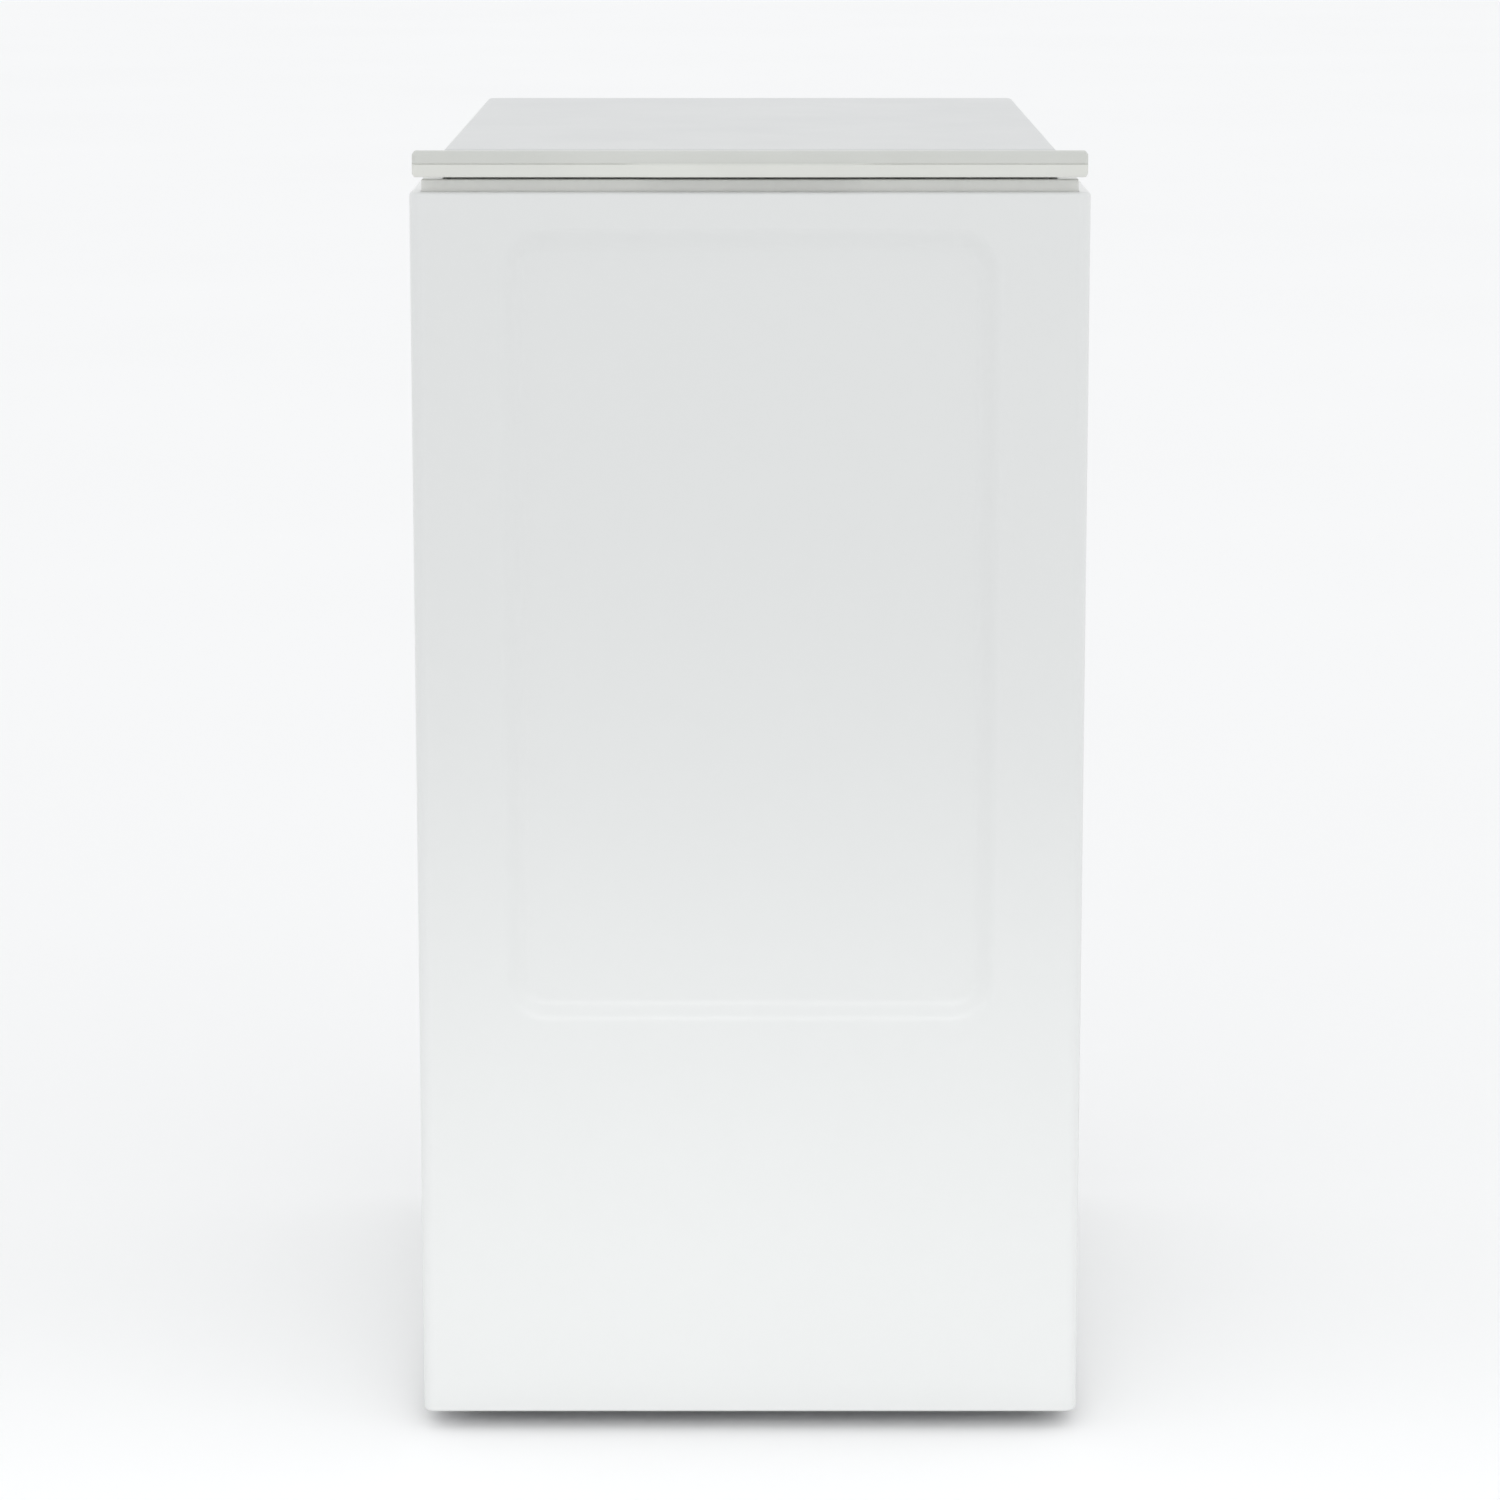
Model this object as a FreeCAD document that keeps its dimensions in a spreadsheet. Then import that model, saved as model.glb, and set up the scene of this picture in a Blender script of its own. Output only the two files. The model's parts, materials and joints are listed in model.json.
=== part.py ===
import FreeCAD, Part
import math
import os
import Sketcher

"""Narrow top load washing machine, drum axis across the machine, in millimetres.

+Z is up, the front faces -Y and +X is to the right seen from the front.  The origin is at the
middle of the footprint, on the floor.
"""

V = FreeCAD.Vector
Rotation = FreeCAD.Rotation
doc = FreeCAD.newDocument("TopLoadWasher")


# ------------------------------------------------------------------ driving dimensions

DIMENSIONS = {
    # Cabinet of sheet steel on a drip pan
    "cabinet_width": 450, "cabinet_front": -298, "cabinet_back": 285,
    "cabinet_low": 13, "cabinet_top": 852, "sheet": 1, "front_corner": 9, "front_return": 20,
    "panel_gap": 0.4, "flange": 14, "stamp_depth": 5, "stamp_bevel": 16,
    "stamp_half_width": 167, "stamp_low": 289, "stamp_high": 829,
    "side_stamp_front": -215, "side_stamp_back": 205, "side_stamp_depth": 4,
    "pan_inset": 4, "pan_height": 47, "pan_wall": 1.5, "rear_panel_low": 61,
    # Feet
    "foot_x": 190, "foot_front_y": -238, "foot_back_y": 248, "foot_pad_radius": 20,
    "foot_pad_height": 7, "stud_radius": 4, "stud_top": 34, "thread_play": 0.08,
    "boss_radius": 9, "boss_height": 14, "nut_across": 15, "nut_height": 5,
    # Plastic top frame around the loading opening
    "frame_half_width": 217, "frame_front": -290, "frame_back": 281, "frame_low": 817,
    "frame_wall": 3, "deck_low": 846, "deck_top": 849, "rim_top": 860, "rim_back": 250,
    "ledge_width": 14,
    "neck_left": -136, "neck_right": 124, "neck_front": -175, "neck_back": 115,
    "neck_corner": 30, "neck_wall": 3, "mouth_margin": 8, "mouth_low": 806,
    "tray_front": 129, "tray_back": 190, "tray_low": 775, "tray_wall": 2, "tray_lip": 3,
    "tray_first_wall": -48, "tray_second_wall": 40, "tray_corner": 6,
    "controls_front": 199, "controls_back": 258, "controls_half_width": 198,
    "controls_top": 852, "controls_corner": 6, "window_margin": 9,
    # Lid
    "lid_front": -300, "lid_back": 283, "lid_half_width": 222.5, "lid_low": 862,
    "lid_top": 880, "lid_plate_half_width": 203, "lid_skin": 1.2,
    "nose_back": -284, "nose_top": 879, "nose_corner": 3, "grip_half_width": 65, "grip_depth": 8,
    "grip_height": 9, "grip_wall": 2.5, "lid_round": 2, "liner_half_width": 198, "liner_front": -276,
    "liner_low": 853, "liner_skin": 2.5, "liner_top": 872, "liner_step": 128,
    "liner_back": 258, "liner_high": 868, "seal_width": 9, "seal_gap": 0.5,
    "hinge_y": 272, "hinge_z": 866, "hinge_x": 172, "pin_radius": 3, "pin_play": 0.06,
    "knuckle_radius": 5, "knuckle_half": 9, "bracket_thick": 4, "bracket_gap": 0.5,
    "notch_half": 17,
    # Lid lock
    "lock_x": 174, "lock_y": 158, "strike_thick": 4, "strike_half": 10, "strike_low": 826,
    "lock_slot_half": 5, "lock_slot_front": 139, "lock_slot_back": 172, "lock_low": 820,
    "lock_right": 208, "lock_left": 164, "lock_front": 134, "lock_back": 184,
    "bolt_half": 4, "bolt_z": 834, "bolt_length": 16, "bolt_start": 184, "bolt_play": 0.6,
    # Controls
    "dial_x": 95, "dial_y": 228, "dial_radius": 22, "dial_low": 852.6, "dial_top": 865,
    "dial_shaft_radius": 3, "board_low": 828, "board_thick": 2, "board_front": 206,
    "board_back": 252, "board_half_width": 150, "button_radius": 8, "button_y": 228,
    "button_top": 856, "button_low": 844, "button_play": 0.4, "button_flange": 1.5,
    "button_spacing": 34, "button_first_x": -100, "relay_left": 30, "relay_right": 50,
    "relay_front": 210, "relay_back": 236, "relay_low": 818,
    # Tub
    "tub_y": -30, "tub_z": 460, "tub_left": -176, "tub_right": 161, "tub_radius": 250,
    "tub_wall": 2, "tub_end_thick": 4, "tub_rim": 5, "collar_top": 722,
    "hub_radius": 36, "hub_left": -200, "hub_right": 176, "rib_height": 10, "rib_thick": 4,
    "rib_inner": 30, "rib_outer": 225, "contact_gap": 0.2, "collar_low": 640,
    "left_bearing": -199, "right_bearing": 162, "race_step": 5, "bellows_gap": 0.5,
    # Drum
    "drum_left": -160, "drum_right": 150, "drum_radius": 230, "drum_wall": 1.5,
    "drum_end_thick": 2, "shaft_radius": 10, "spider_radius": 55, "spider_thick": 6,
    "drum_door_left": -114, "drum_door_right": 104, "door_half_angle": 30,
    "door_hinge_angle": 31.4, "door_leaf_angle": 27, "notch_angle": 33.6,
    "door_seam_angle": 0.6, "door_free_angle": 29.2,
    "door_side_gap": 3, "door_pin_radius": 2, "door_knuckle_radius": 4,
    "door_knuckle_length": 24, "lug_length": 8, "lug_gap": 0.6,
    "lifter_height": 44, "lifter_foot": 34, "lifter_crest": 10, "lifter_margin": 12,
    "bearing_radius": 26, "bearing_width": 14, "shaft_play": 0.04,
    "pulley_radius": 130, "pulley_left": 182, "pulley_right": 198, "pulley_rim": 8,
    "pulley_hub_radius": 22, "pulley_web": 5, "spoke_hole_radius": 28, "spoke_circle": 78,
    # Latch between the two drum doors
    "latch_half_width": 25, "latch_length": 24, "latch_thick": 4,
    "latch_tip": -31, "latch_low": 682, "latch_knob_half": 12, "latch_knob": 6, "latch_stand": 4,
    "latch_slot_front": -53, "latch_slot_back": -39,
    # Drive
    "motor_y": -30, "motor_z": 130, "motor_radius": 58, "motor_left": -50, "motor_right": 122,
    "motor_cap": 12, "motor_cap_radius": 48, "motor_shaft_radius": 6,
    "motor_pulley_radius": 10, "belt_thick": 4, "belt_gap": 0.3, "belt_width": 12,
    "cradle_half": 44, "cradle_left": -40, "cradle_right": 110,
    # Suspension and ballast
    "damper_left_x": -156, "damper_right_x": 142, "damper_front_y": -214, "damper_back_y": 154,
    "damper_radius": 14, "damper_low": 15.5, "damper_top": 150, "rod_radius": 6,
    "rod_play": 0.3, "rod_low": 60, "rod_lug_half": 12, "rod_lug_low": 262, "rod_lug_top": 330,
    "spring_x": 198, "spring_front_y": -180, "spring_back_y": 120, 
    "spring_radius": 11, "spring_wire": 1.6, "spring_pitch": 9,
    "rail_low": 790, "rail_height": 12, "rail_half": 16, "rail_outer": 219.5,
    "rail_front": -262, "rail_back": 262,
    "hanger_low": 626, "hanger_half": 14, "hanger_height": 10,
    "weight_left": -128, "weight_right": 116, "weight_front_y": -284, "weight_front_back": -185,
    "weight_front_low": 246, "weight_front_high": 346, "weight_back_y": 266,
    "weight_back_front": 150, "weight_back_low": 330, "weight_back_high": 575,
    # Heater
    "heater_rod": 4, "heater_circle": 239, "heater_spread": 26, "heater_end_x": 120,
    "heater_flange": 8, "heater_flange_half_y": 42, "heater_flange_half_z": 14,
    # Water path
    "valve_x": -150, "valve_z": 790, "valve_front": 236, "valve_back": 282.6, "valve_half": 20,
    "thread_radius": 13.2, "thread_back": 300, "thread_bore": 9,
    "inlet_collar_radius": 15, "inlet_collar_back": 286, "fill_x": -122,
    "fill_radius": 8, "fill_bore": 6, "spout_x": 60, "spout_y": 160, "spout_radius": 15,
    "spout_bore": 12, "spout_low": 655, "spout_nozzle_low": 590, "sump_x": -100,
    "sump_y": -150, "sump_radius": 21, "sump_bore": 17, "sump_low": 112, "sump_high": 222,
    "sump_nozzle_top": 262, "pump_z": 70, "pump_radius": 38,
    "pump_front": -186, "pump_back": -116, "pump_wall": 4, "pump_motor_radius": 26,
    "pump_motor_back": -56, "impeller_radius": 22, "impeller_front": -166,
    "impeller_back": -132, "impeller_shaft": 4, "drain_radius": 11,
    "drain_bore": 8.5, "drain_x": -192, "drain_turn_y": 240, "drain_exit_z": 700,
    "drain_bend": 30, "drain_start_z": 78, "pump_nozzle_end": -150,
    "drain_exit_y": 284, "drain_hose_end": 272, "spigot_bore": 8,
    "drain_spigot_end": 299, "drain_flange_radius": 16, "drain_flange_back": 288,
    # Rear fittings
    "gland_x": 150, "gland_z": 110, "gland_radius": 11, "gland_bore": 4, "gland_back": 296,
    "gland_neck": 9.8,
    "vent_x": 20, "vent_low": 640, "vent_pitch": 16, "vent_height": 6, "vent_half_width": 60,
    "screw_radius": 4, "screw_height": 2, "screw_inset": 9,
    "screw_first": 101, "screw_pitch": 181,
}

NODE_LIMIT = 60
SQUARE = 90
HALF_TURN = 180
FULL_TURN = 360
HEXAGON_SIDES = 6
VENT_COUNT = 5
SCREW_COUNT = 5
RIB_COUNT = 8
SPOKE_COUNT = 5
LIFTER_ANGLES = (120, 180, 240)


class Size:
    """A length that carries its value and the spreadsheet expression that gives it."""

    def __init__(self, value, text):
        self.value = float(value)
        self.text = text

    def __add__(self, other):
        other = size(other)
        return Size(self.value + other.value, f"({self.text} + {other.text})")

    def __radd__(self, other):
        return size(other) + self

    def __sub__(self, other):
        other = size(other)
        return Size(self.value - other.value, f"({self.text} - {other.text})")

    def __rsub__(self, other):
        return size(other) - self

    def __mul__(self, factor):
        factor = size(factor)
        return Size(self.value * factor.value, f"({self.text} * {factor.text})")

    __rmul__ = __mul__

    def __truediv__(self, divisor):
        divisor = size(divisor)
        return Size(self.value / divisor.value, f"({self.text} / {divisor.text})")

    def __neg__(self):
        return Size(-self.value, f"(0 - {self.text})")


def size(value):
    """A plain number as a Size; a Size stays as it is."""
    if isinstance(value, Size):
        return value
    return Size(value, f"({value})")


def root(value):
    return Size(math.sqrt(value.value), f"sqrt({value.text})")


class Dimensions:
    """The spreadsheet's cells, each as a Size named after its alias."""

    def __init__(self, values):
        cells = doc.addObject("Spreadsheet::Sheet", "Dims")
        for row, (alias, value) in enumerate(values.items(), start=1):
            cells.set(f"A{row}", alias)
            cells.set(f"B{row}", str(value))
            cells.setAlias(f"B{row}", alias)
        doc.recompute()
        for alias in values:
            setattr(self, alias, Size(cells.get(alias), f"Dims.{alias}"))


d = Dimensions(DIMENSIONS)
sub_parts = []


# ------------------------------------------------------------------ helpers

def bind(obj, prop, value):
    """Bind one property of an object to the spreadsheet."""
    obj.setExpression(prop, size(value).text)


def place(obj, point, rotation=None):
    """Put an object at a point whose coordinates are bound to the spreadsheet."""
    point = [size(value) for value in point]
    base = V(*[value.value for value in point])
    obj.Placement = FreeCAD.Placement(base, rotation or Rotation())
    for axis, value in zip("xyz", point):
        bind(obj, f".Placement.Base.{axis}", value)
    return obj


def sub_part(label, obj):
    """Name an object as a sub-part; its label is also its file's name."""
    obj.Label = label
    sub_parts.append(obj)
    return obj


def box(x, y, z):
    """A block between two coordinates along each axis."""
    block = doc.addObject("Part::Box", "Block")
    spans = [(size(low), size(high)) for low, high in (x, y, z)]
    for prop, (low, high) in zip(("Length", "Width", "Height"), spans):
        bind(block, prop, high - low)
    return place(block, [low for low, high in spans])


AXIS_TURN = {
    "x": Rotation(V(0, 1, 0), SQUARE),
    "y": Rotation(V(1, 0, 0), -SQUARE),
    "z": Rotation(),
}


def rod(axis, start, end, across, radius):
    """A round bar along an axis; across gives its two other coordinates in x, y, z order."""
    bar = doc.addObject("Part::Cylinder", "Bar")
    bind(bar, "Radius", radius)
    bind(bar, "Height", size(end) - size(start))
    first, second = across
    points = {"x": (start, first, second), "y": (first, start, second), "z": (first, second, start)}
    return place(bar, points[axis], AXIS_TURN[axis])


def fuse(*shapes):
    if len(shapes) == 1:
        return shapes[0]
    joined = doc.addObject("Part::MultiFuse", "Joined")
    joined.Shapes = list(shapes)
    return joined


def cut(base, *tools):
    """The base with every tool taken away; a tool that removes nothing is an error."""
    result = doc.addObject("Part::Cut", "Cutout")
    result.Base = base
    result.Tool = fuse(*tools)
    doc.recompute()
    if not result.Shape.Volume < base.Shape.Volume:
        raise RuntimeError(f"{result.Name} removes nothing from {base.Name}")
    return result


def group(*shapes):
    """Separate solids that share one node."""
    bundle = doc.addObject("Part::Compound", "Bundle")
    bundle.Links = list(shapes)
    return bundle


def tube(axis, start, end, across, outer, inner):
    shell = rod(axis, start, end, across, outer)
    return cut(shell, rod(axis, size(start) - 1, size(end) + 1, across, inner))


def new_body(label=None):
    """A body; without a label it is only a stage of another sub-part."""
    body = doc.addObject("PartDesign::Body", "Body")
    return sub_part(label, body) if label else body


def origin_plane(body, role):
    return next(feature for feature in body.Origin.OriginFeatures if feature.Role == role)


def new_sketch(body, role, level):
    """A sketch on one of the body's origin planes, moved to a level on the plane's axis."""
    sketch = body.newObject("Sketcher::SketchObject", "Outline")
    sketch.AttachmentSupport = (origin_plane(body, role), [""])
    sketch.MapMode = "FlatFace"
    level = size(level)
    bind(sketch, ".AttachmentOffset.Base.z", -level if role == "XZ_Plane" else level)
    return sketch


def pin_point(sketch, edge, end, point):
    """Fix one end of an edge at two bound coordinates."""
    for kind, value in zip(("DistanceX", "DistanceY"), point):
        index = sketch.addConstraint(Sketcher.Constraint(kind, edge, end, size(value).value))
        bind(sketch, f"Constraints[{index}]", value)


def polygon(points):
    """Draws straight edges through points, each point bound to the spreadsheet."""
    def draw(sketch):
        corners = [V(size(u).value, size(v).value, 0) for u, v in points]
        edges = [sketch.addGeometry(Part.LineSegment(corner, corners[(index + 1) % len(corners)]))
                 for index, corner in enumerate(corners)]
        for index, edge in enumerate(edges):
            following = edges[(index + 1) % len(edges)]
            sketch.addConstraint(Sketcher.Constraint("Coincident", edge, 2, following, 1))
        for edge, point in zip(edges, points):
            pin_point(sketch, edge, 1, point)
    return draw


def rectangle(u, v):
    return polygon([(u[0], v[0]), (u[1], v[0]), (u[1], v[1]), (u[0], v[1])])


def circle(centre, radius):
    """Draws a circle whose centre and radius are bound."""
    def draw(sketch):
        middle = V(size(centre[0]).value, size(centre[1]).value, 0)
        edge = sketch.addGeometry(Part.Circle(middle, V(0, 0, 1), size(radius).value))
        pin_point(sketch, edge, 3, centre)
        index = sketch.addConstraint(Sketcher.Constraint("Radius", edge, size(radius).value))
        bind(sketch, f"Constraints[{index}]", radius)
    return draw


def rounded(u, v, radius):
    """Draws a rectangle with four equal corner arcs."""
    def draw(sketch):
        r = size(radius).value
        (left, right), (low, high) = [[size(value).value for value in pair] for pair in (u, v)]
        corners = [(right - r, low + r), (right - r, high - r), (left + r, high - r), (left + r, low + r)]
        starts = [-SQUARE, 0, SQUARE, HALF_TURN]
        arcs = []
        for (cu, cv), start in zip(corners, starts):
            round_edge = Part.Circle(V(cu, cv, 0), V(0, 0, 1), r)
            begin = math.radians(start)
            arcs.append(sketch.addGeometry(Part.ArcOfCircle(round_edge, begin, begin + math.pi / 2)))
        sides = []
        for index, arc in enumerate(arcs):
            following = arcs[(index + 1) % 4]
            line = Part.LineSegment(sketch.getPoint(arc, 2), sketch.getPoint(following, 1))
            sides.append(sketch.addGeometry(line))
        for index, side in enumerate(sides):
            following = arcs[(index + 1) % 4]
            sketch.addConstraint(Sketcher.Constraint("Tangent", arcs[index], 2, side, 1))
            sketch.addConstraint(Sketcher.Constraint("Tangent", side, 2, following, 1))
            kind = "Vertical" if index % 2 == 0 else "Horizontal"
            sketch.addConstraint(Sketcher.Constraint(kind, side))
        for arc in arcs[1:]:
            sketch.addConstraint(Sketcher.Constraint("Equal", arcs[0], arc))
        index = sketch.addConstraint(Sketcher.Constraint("Radius", arcs[0], r))
        bind(sketch, f"Constraints[{index}]", radius)
        bounds = [("DistanceX", sides[0], u[1]), ("DistanceY", sides[1], v[1]),
                  ("DistanceX", sides[2], u[0]), ("DistanceY", sides[3], v[0])]
        for kind, side, value in bounds:
            index = sketch.addConstraint(Sketcher.Constraint(kind, side, 1, size(value).value))
            bind(sketch, f"Constraints[{index}]", value)
    return draw


def volume(body):
    return 0.0 if body.Shape.isNull() else body.Shape.Volume


def extrude(body, kind, role, low, high, *outlines):
    """A Pad or Pocket between two levels along the normal of one of the body's planes."""
    before = volume(body)
    sketch = new_sketch(body, role, high if role == "XZ_Plane" else low)
    for draw in outlines:
        draw(sketch)
    feature = body.newObject(f"PartDesign::{kind}", kind)
    feature.Profile = sketch
    bind(feature, "Length", size(high) - size(low))
    feature.Reversed = kind == "Pocket"
    doc.recompute()
    if "Invalid" in feature.State:
        raise RuntimeError(f"{body.Label}: {feature.Name} failed")
    change = volume(body) - before
    if change == 0 or (change > 0) != (kind == "Pad"):
        raise RuntimeError(f"{body.Label}: {feature.Name} does not change the solid as it should")
    return feature


def pad(body, role, low, high, *outlines):
    return extrude(body, "Pad", role, low, high, *outlines)


def pocket(body, role, low, high, *outlines):
    return extrude(body, "Pocket", role, low, high, *outlines)


def dress(body, kind, prop, amount, chosen):
    """Round or bevel the edges of the body's tip that the chosen test picks."""
    doc.recompute()
    tip = body.Tip
    names = [f"Edge{index}" for index, edge in enumerate(tip.Shape.Edges, start=1) if chosen(edge)]
    if not names:
        raise RuntimeError(f"{body.Label}: no edge to {kind}")
    feature = body.newObject(f"PartDesign::{kind}", kind)
    feature.Base = (tip, names)
    bind(feature, prop, amount)
    doc.recompute()
    if "Invalid" in feature.State:
        raise RuntimeError(f"{body.Label}: {feature.Name} failed")
    return feature


def fillet(body, radius, chosen):
    return dress(body, "Fillet", "Radius", radius, chosen)


NEAR = 0.01


def runs_along(edge, axis):
    """True for a straight edge parallel to an axis."""
    bounds = edge.BoundBox
    lengths = {"x": bounds.XLength, "y": bounds.YLength, "z": bounds.ZLength}
    others = [length for name, length in lengths.items() if name != axis]
    return lengths[axis] > NEAR and max(others) < NEAR


def lies_at(edge, axis, level):
    """True for an edge whose whole length is at one coordinate."""
    bounds = edge.BoundBox
    ends = {"x": (bounds.XMin, bounds.XMax), "y": (bounds.YMin, bounds.YMax), "z": (bounds.ZMin, bounds.ZMax)}
    return all(abs(value - size(level).value) < NEAR for value in ends[axis])


def solid_feature(shape):
    """A sub-part whose shape is made directly, where no feature suits it."""
    feature = doc.addObject("Part::Feature", "Form")
    feature.Shape = shape
    feature.Placement = FreeCAD.Placement()
    return feature


# ------------------------------------------------------------------ cabinet

half_width = d.cabinet_width / 2


WEDGE_TURN = {
    "front": Rotation(),
    "left": Rotation(V(0, 0, 1), -SQUARE),
    "right": Rotation(V(0, 0, 1), SQUARE),
}


def frustum(facing, face, u, z, depth, slope):
    """A block whose four sides slope in by slope over its depth, pressed in from one side."""
    block = doc.addObject("Part::Wedge", "Field")
    block.Placement = FreeCAD.Placement(V(), WEDGE_TURN[facing])
    if facing == "left":
        u = (-u[1], -u[0])
    limits = {"Xmin": u[0], "Xmax": u[1], "Zmin": z[0], "Zmax": z[1],
              "X2min": u[0] + slope, "X2max": u[1] - slope,
              "Z2min": z[0] + slope, "Z2max": z[1] - slope,
              "Ymin": face, "Ymax": face + depth}
    for prop, value in limits.items():
        setattr(block, prop, size(value).value)
    for prop, value in limits.items():
        bind(block, prop, value)
    return block


def stamp(sheet_part, facing, face, u, z, depth):
    """Press a field with sloping sides into a sheet, so that the sheet keeps its thickness."""
    skin = d.sheet
    outside = frustum(facing, face + skin, u, z, depth, d.stamp_bevel)
    inside = frustum(facing, face, u, z, depth, d.stamp_bevel)
    return cut(fuse(sheet_part, outside), inside)


def make_front_panel():
    """Front sheet with rounded corners, returned edges and one large stamped field."""
    body = new_body()
    back = d.cabinet_front + d.front_return
    pad(body, "XY_Plane", d.cabinet_low, d.cabinet_top,
        rectangle((-half_width, half_width), (d.cabinet_front, back)))
    fillet(body, d.front_corner, lambda edge: runs_along(edge, "z") and lies_at(edge, "y", d.cabinet_front))
    inner = half_width - d.sheet
    hollow = rounded((-inner, inner), (d.cabinet_front + d.sheet, back + d.front_return),
                     d.front_corner - d.sheet)
    pocket(body, "XY_Plane", d.cabinet_low + d.sheet, d.cabinet_top - d.sheet, hollow)
    pocket(body, "XY_Plane", d.cabinet_top - d.sheet * 2, d.cabinet_top + d.sheet,
           rectangle((-inner, inner), (d.frame_front - d.panel_gap, back + d.sheet)))
    stamped = stamp(body, "front", d.cabinet_front, (-d.stamp_half_width, d.stamp_half_width),
                    (d.stamp_low, d.stamp_high), d.stamp_depth)
    sub_part("front_panel", stamped)


def make_side_panel(label, side):
    """Side sheet with flanges at the top and the back and a shallow stamped field."""
    body = new_body()
    outer = half_width * side
    inner = outer - d.sheet * side
    flange_edge = outer - d.flange * side
    front = d.cabinet_front + d.front_return + d.panel_gap
    low_x, high_x = sorted((outer, flange_edge), key=lambda value: value.value)
    pad(body, "XY_Plane", d.cabinet_low, d.cabinet_top, rectangle((low_x, high_x), (front, d.cabinet_back)))
    hollow_edge = flange_edge - d.sheet * side
    hollow = sorted((inner, hollow_edge), key=lambda value: value.value)
    pocket(body, "XY_Plane", d.cabinet_low - d.sheet, d.cabinet_top - d.sheet,
           rectangle(hollow, (front - d.sheet, d.cabinet_back - d.sheet)))
    seat = sorted(((d.frame_half_width + d.panel_gap) * side, hollow_edge), key=lambda value: value.value)
    pocket(body, "XY_Plane", d.cabinet_top - d.sheet * 2, d.cabinet_top + d.sheet,
           rectangle(seat, (front - d.sheet, d.frame_back + d.panel_gap)))
    facing = "left" if side < 0 else "right"
    stamped = stamp(body, facing, -half_width, (d.side_stamp_front, d.side_stamp_back),
                    (d.stamp_low, d.stamp_high), d.side_stamp_depth)
    sub_part(label, stamped)


def make_base_frame():
    """Pressed drip pan that carries the cabinet, the dampers and the pump."""
    body = new_body("base_frame")
    side = half_width - d.pan_inset
    front = d.cabinet_front + d.pan_inset
    back = d.cabinet_back - d.pan_inset
    top = d.cabinet_low + d.sheet + d.pan_height
    low = d.cabinet_low + d.sheet
    pad(body, "XY_Plane", low, top, rectangle((-side, side), (front, back)))
    pocket(body, "XY_Plane", low + d.pan_wall, top + d.sheet,
           rectangle((-side + d.pan_wall, side - d.pan_wall), (front + d.pan_wall, back - d.pan_wall)))
    corners = [(d.foot_x * sx, y) for sx in (-1, 1) for y in (d.foot_front_y, d.foot_back_y)]
    pad(body, "XY_Plane", low, low + d.boss_height, *[circle(corner, d.boss_radius) for corner in corners])
    bore = d.stud_radius + d.thread_play
    pocket(body, "XY_Plane", d.cabinet_low, low + d.boss_height + d.sheet,
           *[circle(corner, bore) for corner in corners])


def make_rear_panel():
    """Back sheet with the openings for the valve, the drain, the mains gland and air."""
    body = new_body("rear_panel")
    side = half_width - d.sheet - d.panel_gap
    back = d.cabinet_back - d.sheet - d.contact_gap
    front = back - d.sheet
    pad(body, "XZ_Plane", front, back, rectangle((-side, side), (d.rear_panel_low, d.cabinet_top - d.sheet)))
    slots = [rectangle((d.vent_x - d.vent_half_width, d.vent_x + d.vent_half_width),
                       (d.vent_low + d.vent_pitch * index, d.vent_low + d.vent_pitch * index + d.vent_height))
             for index in range(VENT_COUNT)]
    holes = [circle((d.valve_x, d.valve_z), d.inlet_collar_radius + d.panel_gap),
             circle((d.drain_x, d.drain_exit_z), d.drain_radius + d.panel_gap),
             circle((d.gland_x, d.gland_z), d.gland_radius - d.sheet)]
    pocket(body, "XZ_Plane", front - d.sheet, back + d.sheet, *slots, *holes)


def make_top_frame():
    """Plastic frame under the lid: deck, rim, loading mouth and seats for tray and controls."""
    body = new_body("top_frame")
    side = d.frame_half_width
    wall = d.frame_wall
    outline = rectangle((-side, side), (d.frame_front, d.frame_back))
    pad(body, "XY_Plane", d.frame_low, d.deck_top, outline)
    pocket(body, "XY_Plane", d.frame_low - d.sheet, d.deck_low,
           rectangle((-side + wall, side - wall), (d.frame_front + wall, d.frame_back - wall)))
    pad(body, "XY_Plane", d.deck_low, d.rim_top, rectangle((-side, side), (d.frame_front, d.rim_back)))
    ledge = d.ledge_width
    pocket(body, "XY_Plane", d.deck_top, d.rim_top + d.sheet,
           rectangle((-side + ledge, side - ledge), (d.frame_front + wall, d.rim_back + wall)))
    margin = d.mouth_margin
    outer = [(d.neck_left - margin, d.neck_right + margin), (d.neck_front - margin, d.neck_back + margin)]
    pad(body, "XY_Plane", d.mouth_low, d.deck_top, rounded(*outer, d.neck_corner + margin))
    inner = [(low + wall, high - wall) for low, high in outer]
    pocket(body, "XY_Plane", d.mouth_low - d.sheet, d.deck_top + d.sheet,
           rounded(*inner, d.neck_corner + margin - wall))
    lip = d.tray_lip
    pocket(body, "XY_Plane", d.deck_low - d.sheet, d.deck_top + d.sheet,
           rectangle((d.neck_left + lip, d.neck_right - lip), (d.tray_front + lip, d.tray_back - lip)),
           rectangle((-d.board_half_width, d.board_half_width),
                     (d.controls_front + d.window_margin, d.controls_back - d.window_margin)),
           rectangle((d.lock_x - d.lock_slot_half, d.lock_x + d.lock_slot_half),
                     (d.lock_slot_front, d.lock_slot_back)))


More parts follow.
